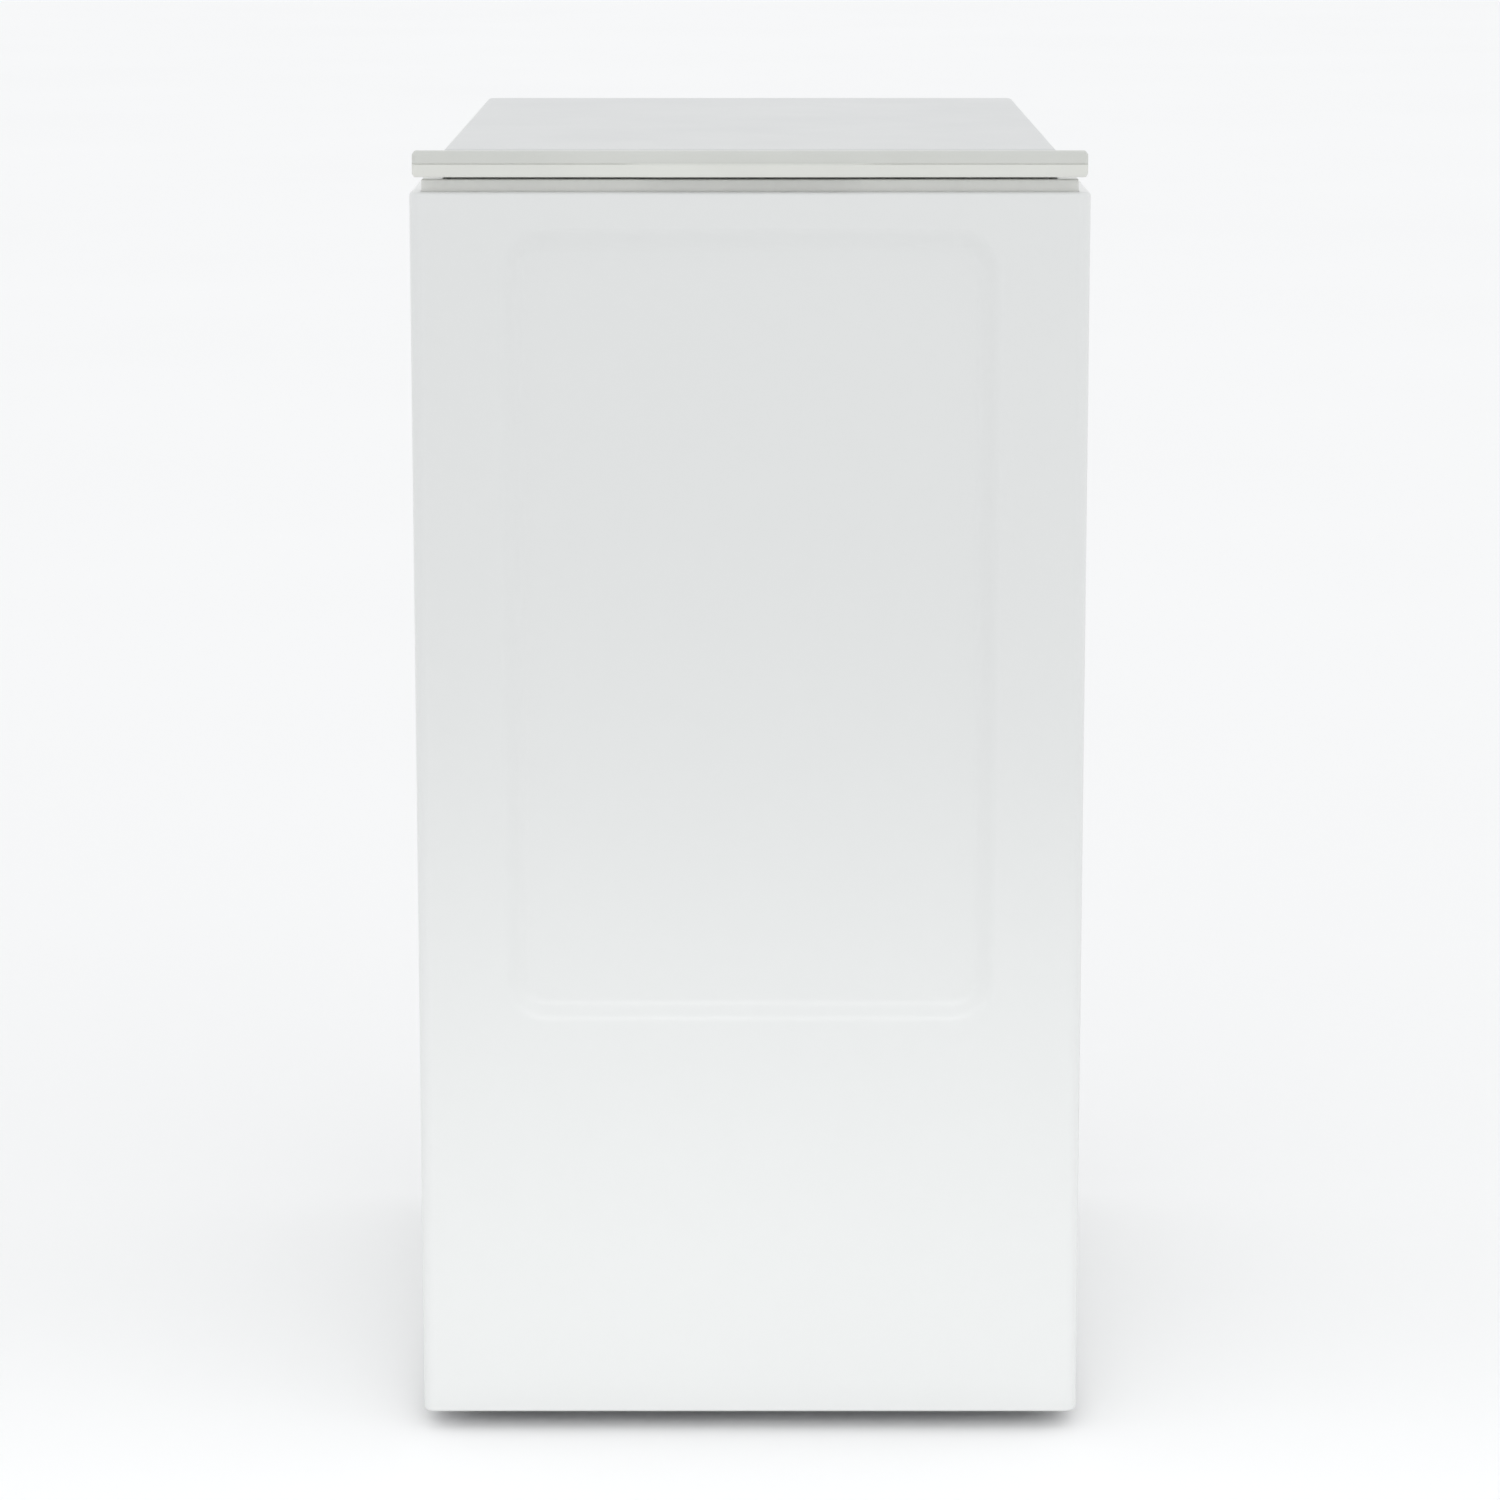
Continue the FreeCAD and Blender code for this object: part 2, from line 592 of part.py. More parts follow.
def make_panel_screws():
    """Hexagon screws that hold the back sheet to the side flanges."""
    heads = []
    back = d.cabinet_back
    levels = [d.screw_first + d.screw_pitch * index for index in range(SCREW_COUNT)]
    for side in (-1, 1):
        for level in levels:
            heads.append(rod("y", back, back + d.screw_height, ((half_width - d.screw_inset) * side, level),
                             d.screw_radius))
    sub_part("panel_screws", group(*heads))


make_front_panel()
make_side_panel("left_side_panel", -1)
make_side_panel("right_side_panel", 1)
make_base_frame()
make_rear_panel()
make_top_frame()
make_panel_screws()


# ------------------------------------------------------------------ feet

FOOT_CORNERS = {
    "front_left": (-1, d.foot_front_y), "front_right": (1, d.foot_front_y),
    "rear_left": (-1, d.foot_back_y), "rear_right": (1, d.foot_back_y),
}


def make_foot(corner):
    """Levelling foot: a pad with a threaded stud that screws into the pan."""
    side, y = FOOT_CORNERS[corner]
    centre = (d.foot_x * side, y)
    body = new_body(f"foot_{corner}")
    pad(body, "XY_Plane", 0, d.foot_pad_height, circle(centre, d.foot_pad_radius))
    fillet(body, d.lid_round, lambda edge: lies_at(edge, "z", d.foot_pad_height))
    pad(body, "XY_Plane", d.foot_pad_height / 2, d.stud_top, circle(centre, d.stud_radius))


def make_lock_nuts():
    """One hexagon nut on each stud, under the pan."""
    nuts = []
    for side, y in FOOT_CORNERS.values():
        blank = doc.addObject("Part::Prism", "Hexagon")
        blank.Polygon = HEXAGON_SIDES
        bind(blank, "Circumradius", d.nut_across / 2)
        bind(blank, "Height", d.nut_height)
        low = d.cabinet_low + d.sheet - d.nut_height - d.contact_gap
        place(blank, (d.foot_x * side, y, low))
        bore = rod("z", low - 1, low + d.nut_height + 1, (d.foot_x * side, y), d.stud_radius + d.thread_play)
        nuts.append(cut(blank, bore))
    sub_part("foot_lock_nuts", group(*nuts))


for corner in FOOT_CORNERS:
    make_foot(corner)
make_lock_nuts()


# ------------------------------------------------------------------ lid

def make_lid_shell():
    """Outer lid: a hollow plate between the frame's two side ledges, notched for its hinges."""
    body = new_body("lid_shell")
    side = d.lid_plate_half_width
    skin = d.lid_skin
    pad(body, "XY_Plane", d.lid_low, d.lid_top, rectangle((-side, side), (d.nose_back, d.lid_back)))
    fillet(body, d.lid_round,
           lambda edge: lies_at(edge, "z", d.lid_top) and not lies_at(edge, "y", d.nose_back))
    pocket(body, "XY_Plane", d.lid_low - d.sheet, d.lid_top - skin,
           rectangle((-side + skin, side - skin), (d.nose_back + skin, d.lid_back - skin)))
    notches = [rectangle((d.hinge_x * sx - d.notch_half, d.hinge_x * sx + d.notch_half),
                         (d.lid_back - skin - d.sheet, d.lid_back + d.sheet)) for sx in (-1, 1)]
    pocket(body, "XY_Plane", d.lid_low - d.sheet, d.lid_top - skin, *notches)


def make_lid_nose():
    """Front bar of the lid, with the finger grip hollowed into its underside."""
    body = new_body("lid_front_handle")
    pad(body, "XY_Plane", d.lid_low, d.nose_top,
        rectangle((-d.lid_half_width, d.lid_half_width), (d.lid_front, d.nose_back)))
    fillet(body, d.nose_corner, lambda edge: runs_along(edge, "x") and lies_at(edge, "y", d.lid_front)
           and lies_at(edge, "z", d.nose_top))
    grip_front = d.lid_front + d.grip_wall
    pocket(body, "XY_Plane", d.lid_low - d.sheet, d.lid_low + d.grip_height,
           rectangle((-d.grip_half_width, d.grip_half_width), (grip_front, grip_front + d.grip_depth)))


def make_lid_liner():
    """Inner skin of the lid: low over the loading mouth, high over the controls."""
    body = new_body("lid_inner_panel")
    side = d.liner_half_width
    skin = d.liner_skin
    pad(body, "XY_Plane", d.liner_low, d.liner_top,
        rectangle((-side, side), (d.liner_front, d.liner_step)))
    pocket(body, "XY_Plane", d.liner_low + skin, d.liner_top + d.sheet,
           rectangle((-side + skin, side - skin), (d.liner_front + skin, d.liner_step - skin)))
    pad(body, "XY_Plane", d.liner_high, d.liner_high + skin,
        rectangle((-side, side), (d.liner_step - skin, d.liner_back)))


def make_lid_seal():
    """Rubber frame on the inner skin, just above the deck when the lid is shut."""
    body = new_body("lid_seal")
    margin = d.mouth_margin + d.seal_width / 2
    outer = [(d.neck_left - margin, d.neck_right + margin), (d.neck_front - margin, d.neck_back + margin)]
    inner = [(low + d.seal_width, high - d.seal_width) for low, high in outer]
    pad(body, "XY_Plane", d.deck_top + d.seal_gap, d.liner_low, rounded(*outer, d.neck_corner + margin))
    pocket(body, "XY_Plane", d.deck_top, d.liner_low + d.sheet,
           rounded(*inner, d.neck_corner + margin - d.seal_width))


def make_lid_strike():
    """Plate on the lid with a square eye for the bolt of the lid lock."""
    half = d.strike_thick / 2
    y = (d.lock_y - d.strike_half, d.lock_y + d.strike_half)
    eye = d.bolt_half + d.bolt_play
    plate = box((d.lock_x - half, d.lock_x + half), y, (d.strike_low, d.liner_high))
    hole = box((d.lock_x - half - 1, d.lock_x + half + 1), (d.lock_y - eye, d.lock_y + eye),
               (d.bolt_z - eye, d.bolt_z + eye))
    foot = box((d.lock_x - d.strike_half, d.lock_x + d.strike_half), y,
               (d.liner_high - d.strike_thick, d.liner_high))
    sub_part("lid_strike", fuse(cut(plate, hole), foot))


def make_hinges():
    """Two hinges: forked brackets with their pins on the frame, knuckles on the lid."""
    brackets = []
    arms = []
    for side in (-1, 1):
        x = d.hinge_x * side
        inner = d.knuckle_half + d.bracket_gap
        outer = inner + d.bracket_thick
        radius = d.knuckle_radius
        cheeks = []
        for low, high in ((x - outer, x - inner), (x + inner, x + outer)):
            leg = box((low, high), (d.hinge_y - radius, d.hinge_y + radius), (d.deck_top, d.hinge_z))
            cheeks += [leg, rod("x", low, high, (d.hinge_y, d.hinge_z), radius)]
        pin = rod("x", x - outer, x + outer, (d.hinge_y, d.hinge_z), d.pin_radius)
        brackets.append(fuse(*cheeks, pin))
        knuckle = rod("x", x - d.knuckle_half, x + d.knuckle_half, (d.hinge_y, d.hinge_z), radius)
        roof = d.lid_top - d.lid_skin
        arm = box((x - d.knuckle_half, x + d.knuckle_half), (d.hinge_y - radius, d.hinge_y + radius),
                  (d.hinge_z, roof))
        bore = rod("x", x - outer, x + outer, (d.hinge_y, d.hinge_z), d.pin_radius + d.pin_play)
        arms.append(cut(fuse(knuckle, arm), bore))
    sub_part("lid_hinge_brackets", group(*brackets))
    sub_part("lid_hinge_arms", group(*arms))


def make_lid_lock():
    """Lock under the deck: a cased bolt that slides into the eye of the strike."""
    case = box((d.lock_left, d.lock_right), (d.lock_front, d.lock_back), (d.lock_low, d.deck_low))
    slot = box((d.lock_x - d.lock_slot_half, d.lock_x + d.lock_slot_half),
               (d.lock_slot_front, d.lock_slot_back), (d.lock_low + d.liner_skin, d.deck_low + 1))
    channel_half = d.bolt_half + d.bolt_play
    channel = box((d.lock_x, d.lock_right - d.liner_skin), (d.lock_y - channel_half, d.lock_y + channel_half),
                  (d.bolt_z - channel_half, d.bolt_z + channel_half))
    sub_part("lid_lock_housing", cut(case, slot, channel))
    bolt = box((d.bolt_start, d.bolt_start + d.bolt_length), (d.lock_y - d.bolt_half, d.lock_y + d.bolt_half),
               (d.bolt_z - d.bolt_half, d.bolt_z + d.bolt_half))
    sub_part("lid_lock_bolt", bolt)


make_lid_shell()
make_lid_nose()
make_lid_liner()
make_lid_seal()
make_lid_strike()
make_hinges()
make_lid_lock()


# ------------------------------------------------------------------ controls

BUTTONS = {"start_button": 0, "option_button": 1}


def button_x(index):
    return d.button_first_x + d.button_spacing * index


def make_control_panel():
    """Fascia at the back of the deck with holes for the dial's shaft and the buttons."""
    body = new_body("control_panel")
    side = d.controls_half_width
    pad(body, "XY_Plane", d.deck_top, d.controls_top,
        rounded((-side, side), (d.controls_front, d.controls_back), d.controls_corner))
    holes = [circle((button_x(index), d.button_y), d.button_radius + d.button_play)
             for index in BUTTONS.values()]
    holes.append(circle((d.dial_x, d.dial_y), d.dial_shaft_radius + d.button_play))
    pocket(body, "XY_Plane", d.deck_low, d.controls_top + d.sheet, *holes)


def make_board():
    """Printed circuit board under the deck's window, with its relay block."""
    plate = box((-d.board_half_width, d.board_half_width), (d.board_front, d.board_back),
                (d.board_low, d.board_low + d.board_thick))
    relay = box((d.relay_left, d.relay_right), (d.relay_front, d.relay_back), (d.relay_low, d.board_low))
    sub_part("control_board", fuse(plate, relay))


def make_dial():
    """Programme dial: a knurled cap on a short shaft down to the board."""
    shaft = rod("z", d.board_low + d.board_thick + d.contact_gap, d.dial_low, (d.dial_x, d.dial_y),
                d.dial_shaft_radius)
    cap = rod("z", d.dial_low, d.dial_top, (d.dial_x, d.dial_y), d.dial_radius)
    half = d.sheet
    pointer = box((d.dial_x - half, d.dial_x + half), (d.dial_y - d.dial_radius + 2, d.dial_y),
                  (d.dial_top - d.sheet / 2, d.dial_top + d.sheet))
    sub_part("programme_dial", fuse(shaft, cap, pointer))


def make_button(label, index):
    """Push button: a round cap above a wider collar that keeps it in the fascia."""
    centre = (button_x(index), d.button_y)
    cap = rod("z", d.button_low, d.button_top, centre, d.button_radius)
    collar = rod("z", d.button_low, d.button_low + d.button_flange, centre, d.button_radius + d.button_flange)
    sub_part(label, fuse(cap, collar))


make_control_panel()
make_board()
make_dial()
for label, index in BUTTONS.items():
    make_button(label, index)


# ------------------------------------------------------------------ detergent tray and water inlet

def make_tray():
    """Detergent tray of three wells hung in the deck behind the loading mouth."""
    body = new_body("dispenser_tray")
    wall = d.tray_wall
    gap = d.panel_gap
    left, right = d.neck_left + d.tray_lip + gap, d.neck_right - d.tray_lip - gap
    front, back = d.tray_front + d.tray_lip + gap, d.tray_back - d.tray_lip - gap
    pad(body, "XY_Plane", d.tray_low, d.deck_top, rounded((left, right), (front, back), d.tray_corner))
    pad(body, "XY_Plane", d.deck_top, d.controls_top,
        rounded((d.neck_left, d.neck_right), (d.tray_front, d.tray_back), d.tray_corner))
    walls = [(left, d.tray_first_wall), (d.tray_first_wall + wall, d.tray_second_wall),
             (d.tray_second_wall + wall, right)]
    wells = []
    for index, (low, high) in enumerate(walls):
        start = low + wall if index == 0 else low
        end = high - wall if index == 2 else high
        wells.append(rounded((start, end), (front + wall, back - wall), d.tray_corner - wall))
    pocket(body, "XY_Plane", d.tray_low + wall, d.controls_top + d.sheet, *wells)


def make_inlet():
    """Inlet valve with its threaded stub through the back and its nozzle into the tray."""
    half = d.valve_half
    case = box((d.valve_x - half, d.fill_x + d.fill_radius + d.tray_wall), (d.valve_front, d.valve_back),
               (d.valve_z - half, d.valve_z + half))
    stub = rod("y", d.valve_back, d.thread_back, (d.valve_x, d.valve_z), d.thread_radius)
    collar = rod("y", d.valve_back, d.inlet_collar_back, (d.valve_x, d.valve_z), d.inlet_collar_radius)
    bore = rod("y", d.valve_back + half / 2, d.thread_back + 1, (d.valve_x, d.valve_z), d.thread_bore)
    nozzle_front = d.tray_back - d.tray_lip - d.panel_gap + d.contact_gap
    nozzle = rod("y", nozzle_front, d.valve_front, (d.fill_x, d.valve_z), d.fill_radius)
    nozzle_bore = rod("y", nozzle_front - 1, d.valve_front + half / 2, (d.fill_x, d.valve_z), d.fill_bore)
    sub_part("inlet_valve", cut(fuse(case, stub, collar, nozzle), bore, nozzle_bore))


make_tray()
make_inlet()


# ------------------------------------------------------------------ tub

tub_axis = (d.tub_y, d.tub_z)


def around_tub(angle, radius):
    """The y and z of a point at an angle from straight up, positive towards the back."""
    turn = math.radians(size(angle).value)
    return d.tub_y + size(radius) * math.sin(turn), d.tub_z + size(radius) * math.cos(turn)


def sector(start, end, radius, first, last):
    """A slice of a bar on the tub's axis between two angles from straight up."""
    piece = rod("x", start, end, tub_axis, radius)
    bind(piece, "Angle", size(last) - size(first))
    turn = Rotation(V(0, 0, 1), HALF_TURN - size(last).value)
    return place(piece, (start, *tub_axis), AXIS_TURN["x"] * turn)


def ring_sector(start, end, outer, inner, first, last):
    hollow = rod("x", size(start) - 1, size(end) + 1, tub_axis, inner)
    return cut(sector(start, end, outer, first, last), hollow)


def clear_of_tub(shape):
    """Take the tub's own cylinder away, with a hair's gap."""
    return cut(shape, rod("x", d.tub_left - 1, d.tub_right + 1, tub_axis, d.tub_radius + d.contact_gap))


def make_tub_shell():
    """Fixed drum casing with its loading hole, sump nozzle and filling spout."""
    body = new_body()
    pad(body, "YZ_Plane", d.tub_left, d.tub_right, circle(tub_axis, d.tub_radius),
        circle(tub_axis, d.tub_radius - d.tub_wall))
    pocket(body, "XY_Plane", d.tub_z, d.collar_top,
           rounded((d.neck_left, d.neck_right), (d.neck_front, d.neck_back), d.neck_corner))
    inside = rod("x", d.tub_left - 1, d.tub_right + 1, tub_axis, d.tub_radius - d.tub_wall)
    sump = rod("z", d.sump_high, d.sump_nozzle_top, (d.sump_x, d.sump_y), d.sump_radius)
    spout = rod("z", d.spout_nozzle_low, d.spout_low, (d.spout_x, d.spout_y), d.spout_radius)
    shell = fuse(body, cut(fuse(sump, spout), inside))
    sump_bore = rod("z", d.sump_high - 1, d.sump_nozzle_top + 1, (d.sump_x, d.sump_y), d.sump_bore)
    spout_bore = rod("z", d.spout_nozzle_low - 1, d.spout_low + 1, (d.spout_x, d.spout_y), d.spout_bore)
    sub_part("tub_shell", cut(shell, sump_bore, spout_bore))


def end_rib(low, high, angle):
    """One radial rib on a tub end, between two levels along the axis."""
    turn = math.radians(angle)
    half = d.rib_thick / 2
    rib = doc.addObject("Part::Box", "Rib")
    bind(rib, "Length", size(high) - size(low))
    bind(rib, "Width", d.rib_thick)
    bind(rib, "Height", d.rib_outer - d.rib_inner)
    y = d.tub_y + half * -math.cos(turn) + d.rib_inner * -math.sin(turn)
    z = d.tub_z + half * -math.sin(turn) + d.rib_inner * math.cos(turn)
    return place(rib, (low, y, z), Rotation(V(1, 0, 0), angle))


def make_tub_end(label, inner_face, side, hub_end, bearing_start):
    """Ribbed end plate with the bearing hub and two ears for the suspension springs."""
    def span(first, second):
        return sorted((size(first), size(second)), key=lambda value: value.value)
    outer_face = inner_face + d.tub_end_thick * side
    plate = rod("x", *span(inner_face, outer_face), tub_axis, d.tub_radius + d.tub_rim)
    hub = rod("x", *span(inner_face, hub_end), tub_axis, d.hub_radius)
    rib_span = span(outer_face, outer_face + d.rib_height * side)
    ribs = [end_rib(*rib_span, (index + 1 / 2) * FULL_TURN / RIB_COUNT) for index in range(RIB_COUNT)]
    ears = []
    for y in (d.spring_front_y, d.spring_back_y):
        ears.append(box(span(outer_face, (d.spring_x + d.hanger_half) * side),
                        (y - d.hanger_half, y + d.hanger_half),
                        (d.hanger_low, d.hanger_low + d.hanger_height)))
    shaft_hole = rod("x", *span(inner_face - side, hub_end + 2 * side), tub_axis, d.shaft_radius + d.sheet)
    seat = rod("x", bearing_start, bearing_start + d.bearing_width, tub_axis, d.bearing_radius)
    tools = [shaft_hole, seat]
    if side < 0:
        tools += [rod("x", outer_face - 1, inner_face + 1, (d.tub_y + d.heater_spread * sign, heater_level()),
                      d.heater_rod + d.contact_gap) for sign in (-1, 1)]
    sub_part(label, cut(fuse(plate, hub, *ribs, *ears), *tools))


def heater_level():
    return d.tub_z - root(d.heater_circle * d.heater_circle - d.heater_spread * d.heater_spread)


def make_tub_collar():
    """Neck that stands on the tub around the loading hole and carries the bellows."""
    body = new_body()
    margin = d.mouth_margin - d.neck_wall
    pad(body, "XY_Plane", d.collar_low, d.collar_top,
        rounded((d.neck_left - margin, d.neck_right + margin), (d.neck_front - margin, d.neck_back + margin),
                d.neck_corner + margin))
    pocket(body, "XY_Plane", d.collar_low - 1, d.collar_top + 1,
           rounded((d.neck_left, d.neck_right), (d.neck_front, d.neck_back), d.neck_corner))
    sub_part("tub_collar", clear_of_tub(body))


def make_bearings():
    """Ball bearing in each hub, drawn as one ring with a groove between its races."""
    rings = []
    for start in (d.left_bearing, d.right_bearing):
        end = start + d.bearing_width
        ring = tube("x", start, end, tub_axis, d.bearing_radius, d.shaft_radius + d.shaft_play)
        groove = tube("x", start - 1, start + 2, tub_axis,
                      d.bearing_radius - d.race_step, d.shaft_radius + d.race_step)
        rings.append(cut(ring, groove))
    sub_part("shaft_bearings", group(*rings))


def make_counterweights():
    """Two concrete blocks shaped to the tub."""
    x = (d.weight_left, d.weight_right)
    front = box(x, (d.weight_front_y, d.weight_front_back), (d.weight_front_low, d.weight_front_high))
    back = box(x, (d.weight_back_front, d.weight_back_y), (d.weight_back_low, d.weight_back_high))
    sub_part("counterweight_front", clear_of_tub(front))
    sub_part("counterweight_rear", clear_of_tub(back))


def make_heater():
    """Hairpin heating element low in the tub, with its sealing flange on the left end."""
    level = heater_level()
    start = d.tub_left - d.tub_end_thick
    legs = [rod("x", start, d.heater_end_x, (d.tub_y + d.heater_spread * sign, level), d.heater_rod)
            for sign in (-1, 1)]
    bend = doc.addObject("Part::Torus", "Bend")
    bind(bend, "Radius1", d.heater_spread)
    bind(bend, "Radius2", d.heater_rod)
    bend.Angle3 = HALF_TURN
    place(bend, (d.heater_end_x, d.tub_y, level), Rotation(V(0, 0, 1), -SQUARE))
    flange = box((start - d.heater_flange, start),
                 (d.tub_y - d.heater_flange_half_y, d.tub_y + d.heater_flange_half_y),
                 (level - d.heater_flange_half_z, level + d.heater_flange_half_z))
    sub_part("heating_element", fuse(*legs, bend, flange))


make_tub_shell()
make_tub_end("tub_end_left", d.tub_left, -1, d.hub_left, d.left_bearing)
make_tub_end("tub_end_right", d.tub_right, 1, d.hub_right, d.right_bearing)
make_tub_collar()
make_bearings()
make_counterweights()
make_heater()


# ------------------------------------------------------------------ drum and its doors

def hinge_line(side):
    """The y and z of a drum door's hinge pin; side is -1 at the front and 1 at the back."""
    return around_tub(d.door_hinge_angle * side, d.drum_radius - d.sheet)


def knuckle_spans():
    """Where the two knuckles of a drum door lie along the axis."""
    inset = d.door_knuckle_length
    return [(d.drum_door_left + inset, d.drum_door_left + inset * 2),
            (d.drum_door_right - inset * 2, d.drum_door_right - inset)]


def make_drum_shell():
    """Rolled drum wall with its loading hole and the barrels and pins of the door hinges."""
    wall = tube("x", d.drum_left, d.drum_right, tub_axis, d.drum_radius, d.drum_radius - d.drum_wall)
    tools = [sector(d.drum_door_left, d.drum_door_right, d.tub_radius, -d.door_half_angle, d.door_half_angle)]
    pins = []
    for side in (-1, 1):
        for low, high in knuckle_spans():
            gap = d.lug_gap
            reach = size(d.notch_angle) * side
            first, last = sorted((size(0), reach), key=lambda value: value.value)
            tools.append(sector(low - gap, high + gap, d.tub_radius, first, last))
            line = hinge_line(side)
            reach_low, reach_high = low - gap - d.lug_length, high + gap + d.lug_length
            pins.append(rod("x", reach_low, reach_high, line, d.door_pin_radius))
            pins.append(rod("x", reach_low, low - gap, line, d.door_knuckle_radius))
            pins.append(rod("x", high + gap, reach_high, line, d.door_knuckle_radius))
    sub_part("drum_shell", fuse(cut(wall, *tools), *pins))


def make_drum_end(label, face, side, shaft_end):
    """Drum side plate with its three-legged boss and shaft."""
    def span(first, second):
        return sorted((size(first), size(second)), key=lambda value: value.value)
    inner = face - d.drum_end_thick * side
    plate = rod("x", *span(inner, face), tub_axis, d.drum_radius - d.drum_wall - d.contact_gap)
    boss = rod("x", *span(face, face + d.spider_thick * side), tub_axis, d.spider_radius)
    shaft = rod("x", *span(face, shaft_end), tub_axis, d.shaft_radius)
    sub_part(label, fuse(plate, boss, shaft))


def make_lifters():
    """Three paddles inside the drum, clear of its doors."""
    paddles = []
    for angle in LIFTER_ANGLES:
        turn = math.radians(angle)
        inward = V(0, -math.sin(turn), -math.cos(turn))
        along = V(1, 0, 0)
        paddle = doc.addObject("Part::Wedge", "Paddle")
        half_foot = d.lifter_foot / 2
        half_crest = d.lifter_crest / 2
        length = d.drum_right - d.drum_left - d.drum_end_thick * 2 - d.lifter_margin
        limits = {"Xmin": -half_foot, "Xmax": half_foot, "X2min": -half_crest, "X2max": half_crest,
                  "Ymin": size(0), "Ymax": d.lifter_height, "Zmin": size(0), "Zmax": length,
                  "Z2min": d.lifter_crest, "Z2max": length - d.lifter_crest}
        for prop, value in limits.items():
            setattr(paddle, prop, value.value)
        for prop, value in limits.items():
            bind(paddle, prop, value)
        foot = around_tub(angle, d.drum_radius - d.drum_wall - d.sheet)
        start = d.drum_left + d.drum_end_thick + d.lifter_margin / 2
        place(paddle, (start, *foot), Rotation(inward.cross(along), inward, along, "ZYX"))
        paddles.append(paddle)
    sub_part("drum_lifters", group(*paddles))


def make_drum_door(label, side):
    """Curved flap with two knuckles; the front one also has the slot for the latch."""
    low_x, high_x = d.drum_door_left + d.door_side_gap, d.drum_door_right - d.door_side_gap
    outer, inner = d.drum_radius, d.drum_radius - d.drum_wall
    first, last = sorted((d.door_seam_angle * side, d.door_free_angle * side), key=lambda value: value.value)
    pieces = [ring_sector(low_x, high_x, outer, inner, first, last)]
    bores = []
    for start, end in knuckle_spans():
        line = hinge_line(side)
        first, last = sorted((d.door_leaf_angle * side, d.door_hinge_angle * side),
                             key=lambda value: value.value)
        pieces.append(ring_sector(start, end, outer, inner, first, last))
        pieces.append(rod("x", start, end, line, d.door_knuckle_radius))
        bores.append(rod("x", start - 1, end + 1, line, d.door_pin_radius + d.pin_play))
    if side < 0:
        middle = (d.drum_door_left + d.drum_door_right) / 2
        half = d.latch_knob_half + d.sheet
        bores.append(box((middle - half, middle + half), (d.latch_slot_front, d.latch_slot_back),
                         (d.tub_z + d.drum_radius / 2, d.tub_z + d.tub_radius)))
    sub_part(label, cut(fuse(*pieces), *bores))


def make_latch():
    """Sliding bolt under the front flap, moved by a knob that stands through its slot."""
    middle = (d.drum_door_left + d.drum_door_right) / 2
    bar = box((middle - d.latch_half_width, middle + d.latch_half_width),
              (d.latch_tip - d.latch_length, d.latch_tip), (d.latch_low, d.latch_low + d.latch_thick))
    knob_front = d.latch_slot_front + d.sheet
    knob = box((middle - d.latch_knob_half, middle + d.latch_knob_half),
               (knob_front, knob_front + d.latch_knob),
               (d.latch_low, d.tub_z + d.drum_radius + d.latch_stand))
    sub_part("door_latch", fuse(bar, knob))


def make_drum_pulley():
    """Spoked wheel on the right end of the drum's shaft."""
    rim = tube("x", d.pulley_left, d.pulley_right, tub_axis, d.pulley_radius, d.pulley_radius - d.pulley_rim)
    middle = (d.pulley_left + d.pulley_right) / 2
    half = d.pulley_web / 2
    web = rod("x", middle - half, middle + half, tub_axis, d.pulley_radius - d.pulley_rim / 2)
    hub = rod("x", d.pulley_left, d.pulley_right, tub_axis, d.pulley_hub_radius)
    holes = [rod("x", d.pulley_left - 1, d.pulley_right + 1,
                 around_tub(index * FULL_TURN / SPOKE_COUNT, d.spoke_circle), d.spoke_hole_radius)
             for index in range(SPOKE_COUNT)]
    bore = rod("x", d.pulley_left - 1, d.pulley_right + 1, tub_axis, d.shaft_radius + d.shaft_play)
    sub_part("drum_pulley", cut(fuse(rim, web, hub), *holes, bore))


make_drum_shell()
make_drum_end("drum_end_left", d.drum_left, -1, d.hub_left + d.sheet)
make_drum_end("drum_end_right", d.drum_right, 1, d.pulley_right + d.sheet)
make_lifters()
make_drum_door("drum_door_front", -1)
make_drum_door("drum_door_rear", 1)
make_latch()
make_drum_pulley()


# ------------------------------------------------------------------ drive

def belt_loop(upper_radius, lower_radius):
    """Closed outline around the two pulleys, in the plane across the drum's axis."""
    upper = V(0, d.tub_y.value, d.tub_z.value)
    lower = V(0, d.motor_y.value, d.motor_z.value)
    slant = (upper_radius - lower_radius) / (upper.z - lower.z)
    level = math.sqrt(1 - slant * slant)
    right = V(0, level, -slant)
    left = V(0, -level, -slant)
    over = Part.Arc(upper + left * upper_radius, upper + V(0, 0, upper_radius), upper + right * upper_radius)
    under = Part.Arc(lower + right * lower_radius, lower - V(0, 0, lower_radius), lower + left * lower_radius)
    down = Part.LineSegment(upper + right * upper_radius, lower + right * lower_radius)
    up = Part.LineSegment(lower + left * lower_radius, upper + left * upper_radius)
    return Part.Wire([over.toShape(), down.toShape(), under.toShape(), up.toShape()])


def make_belt():
    """Ribbed belt from the motor's pulley to the drum's."""
    upper = d.pulley_radius.value + d.belt_gap.value
    lower = d.motor_pulley_radius.value + d.belt_gap.value
    inner = belt_loop(upper, lower)
    outer = belt_loop(upper + d.belt_thick.value, lower + d.belt_thick.value)
    width = V(d.belt_width.value, 0, 0)
    belt = solid_feature(Part.Face(outer).extrude(width).cut(Part.Face(inner).extrude(width)))
    middle = (d.pulley_left + d.pulley_right) / 2
    sub_part("drive_belt", place(belt, (middle - d.belt_width / 2, 0, 0)))


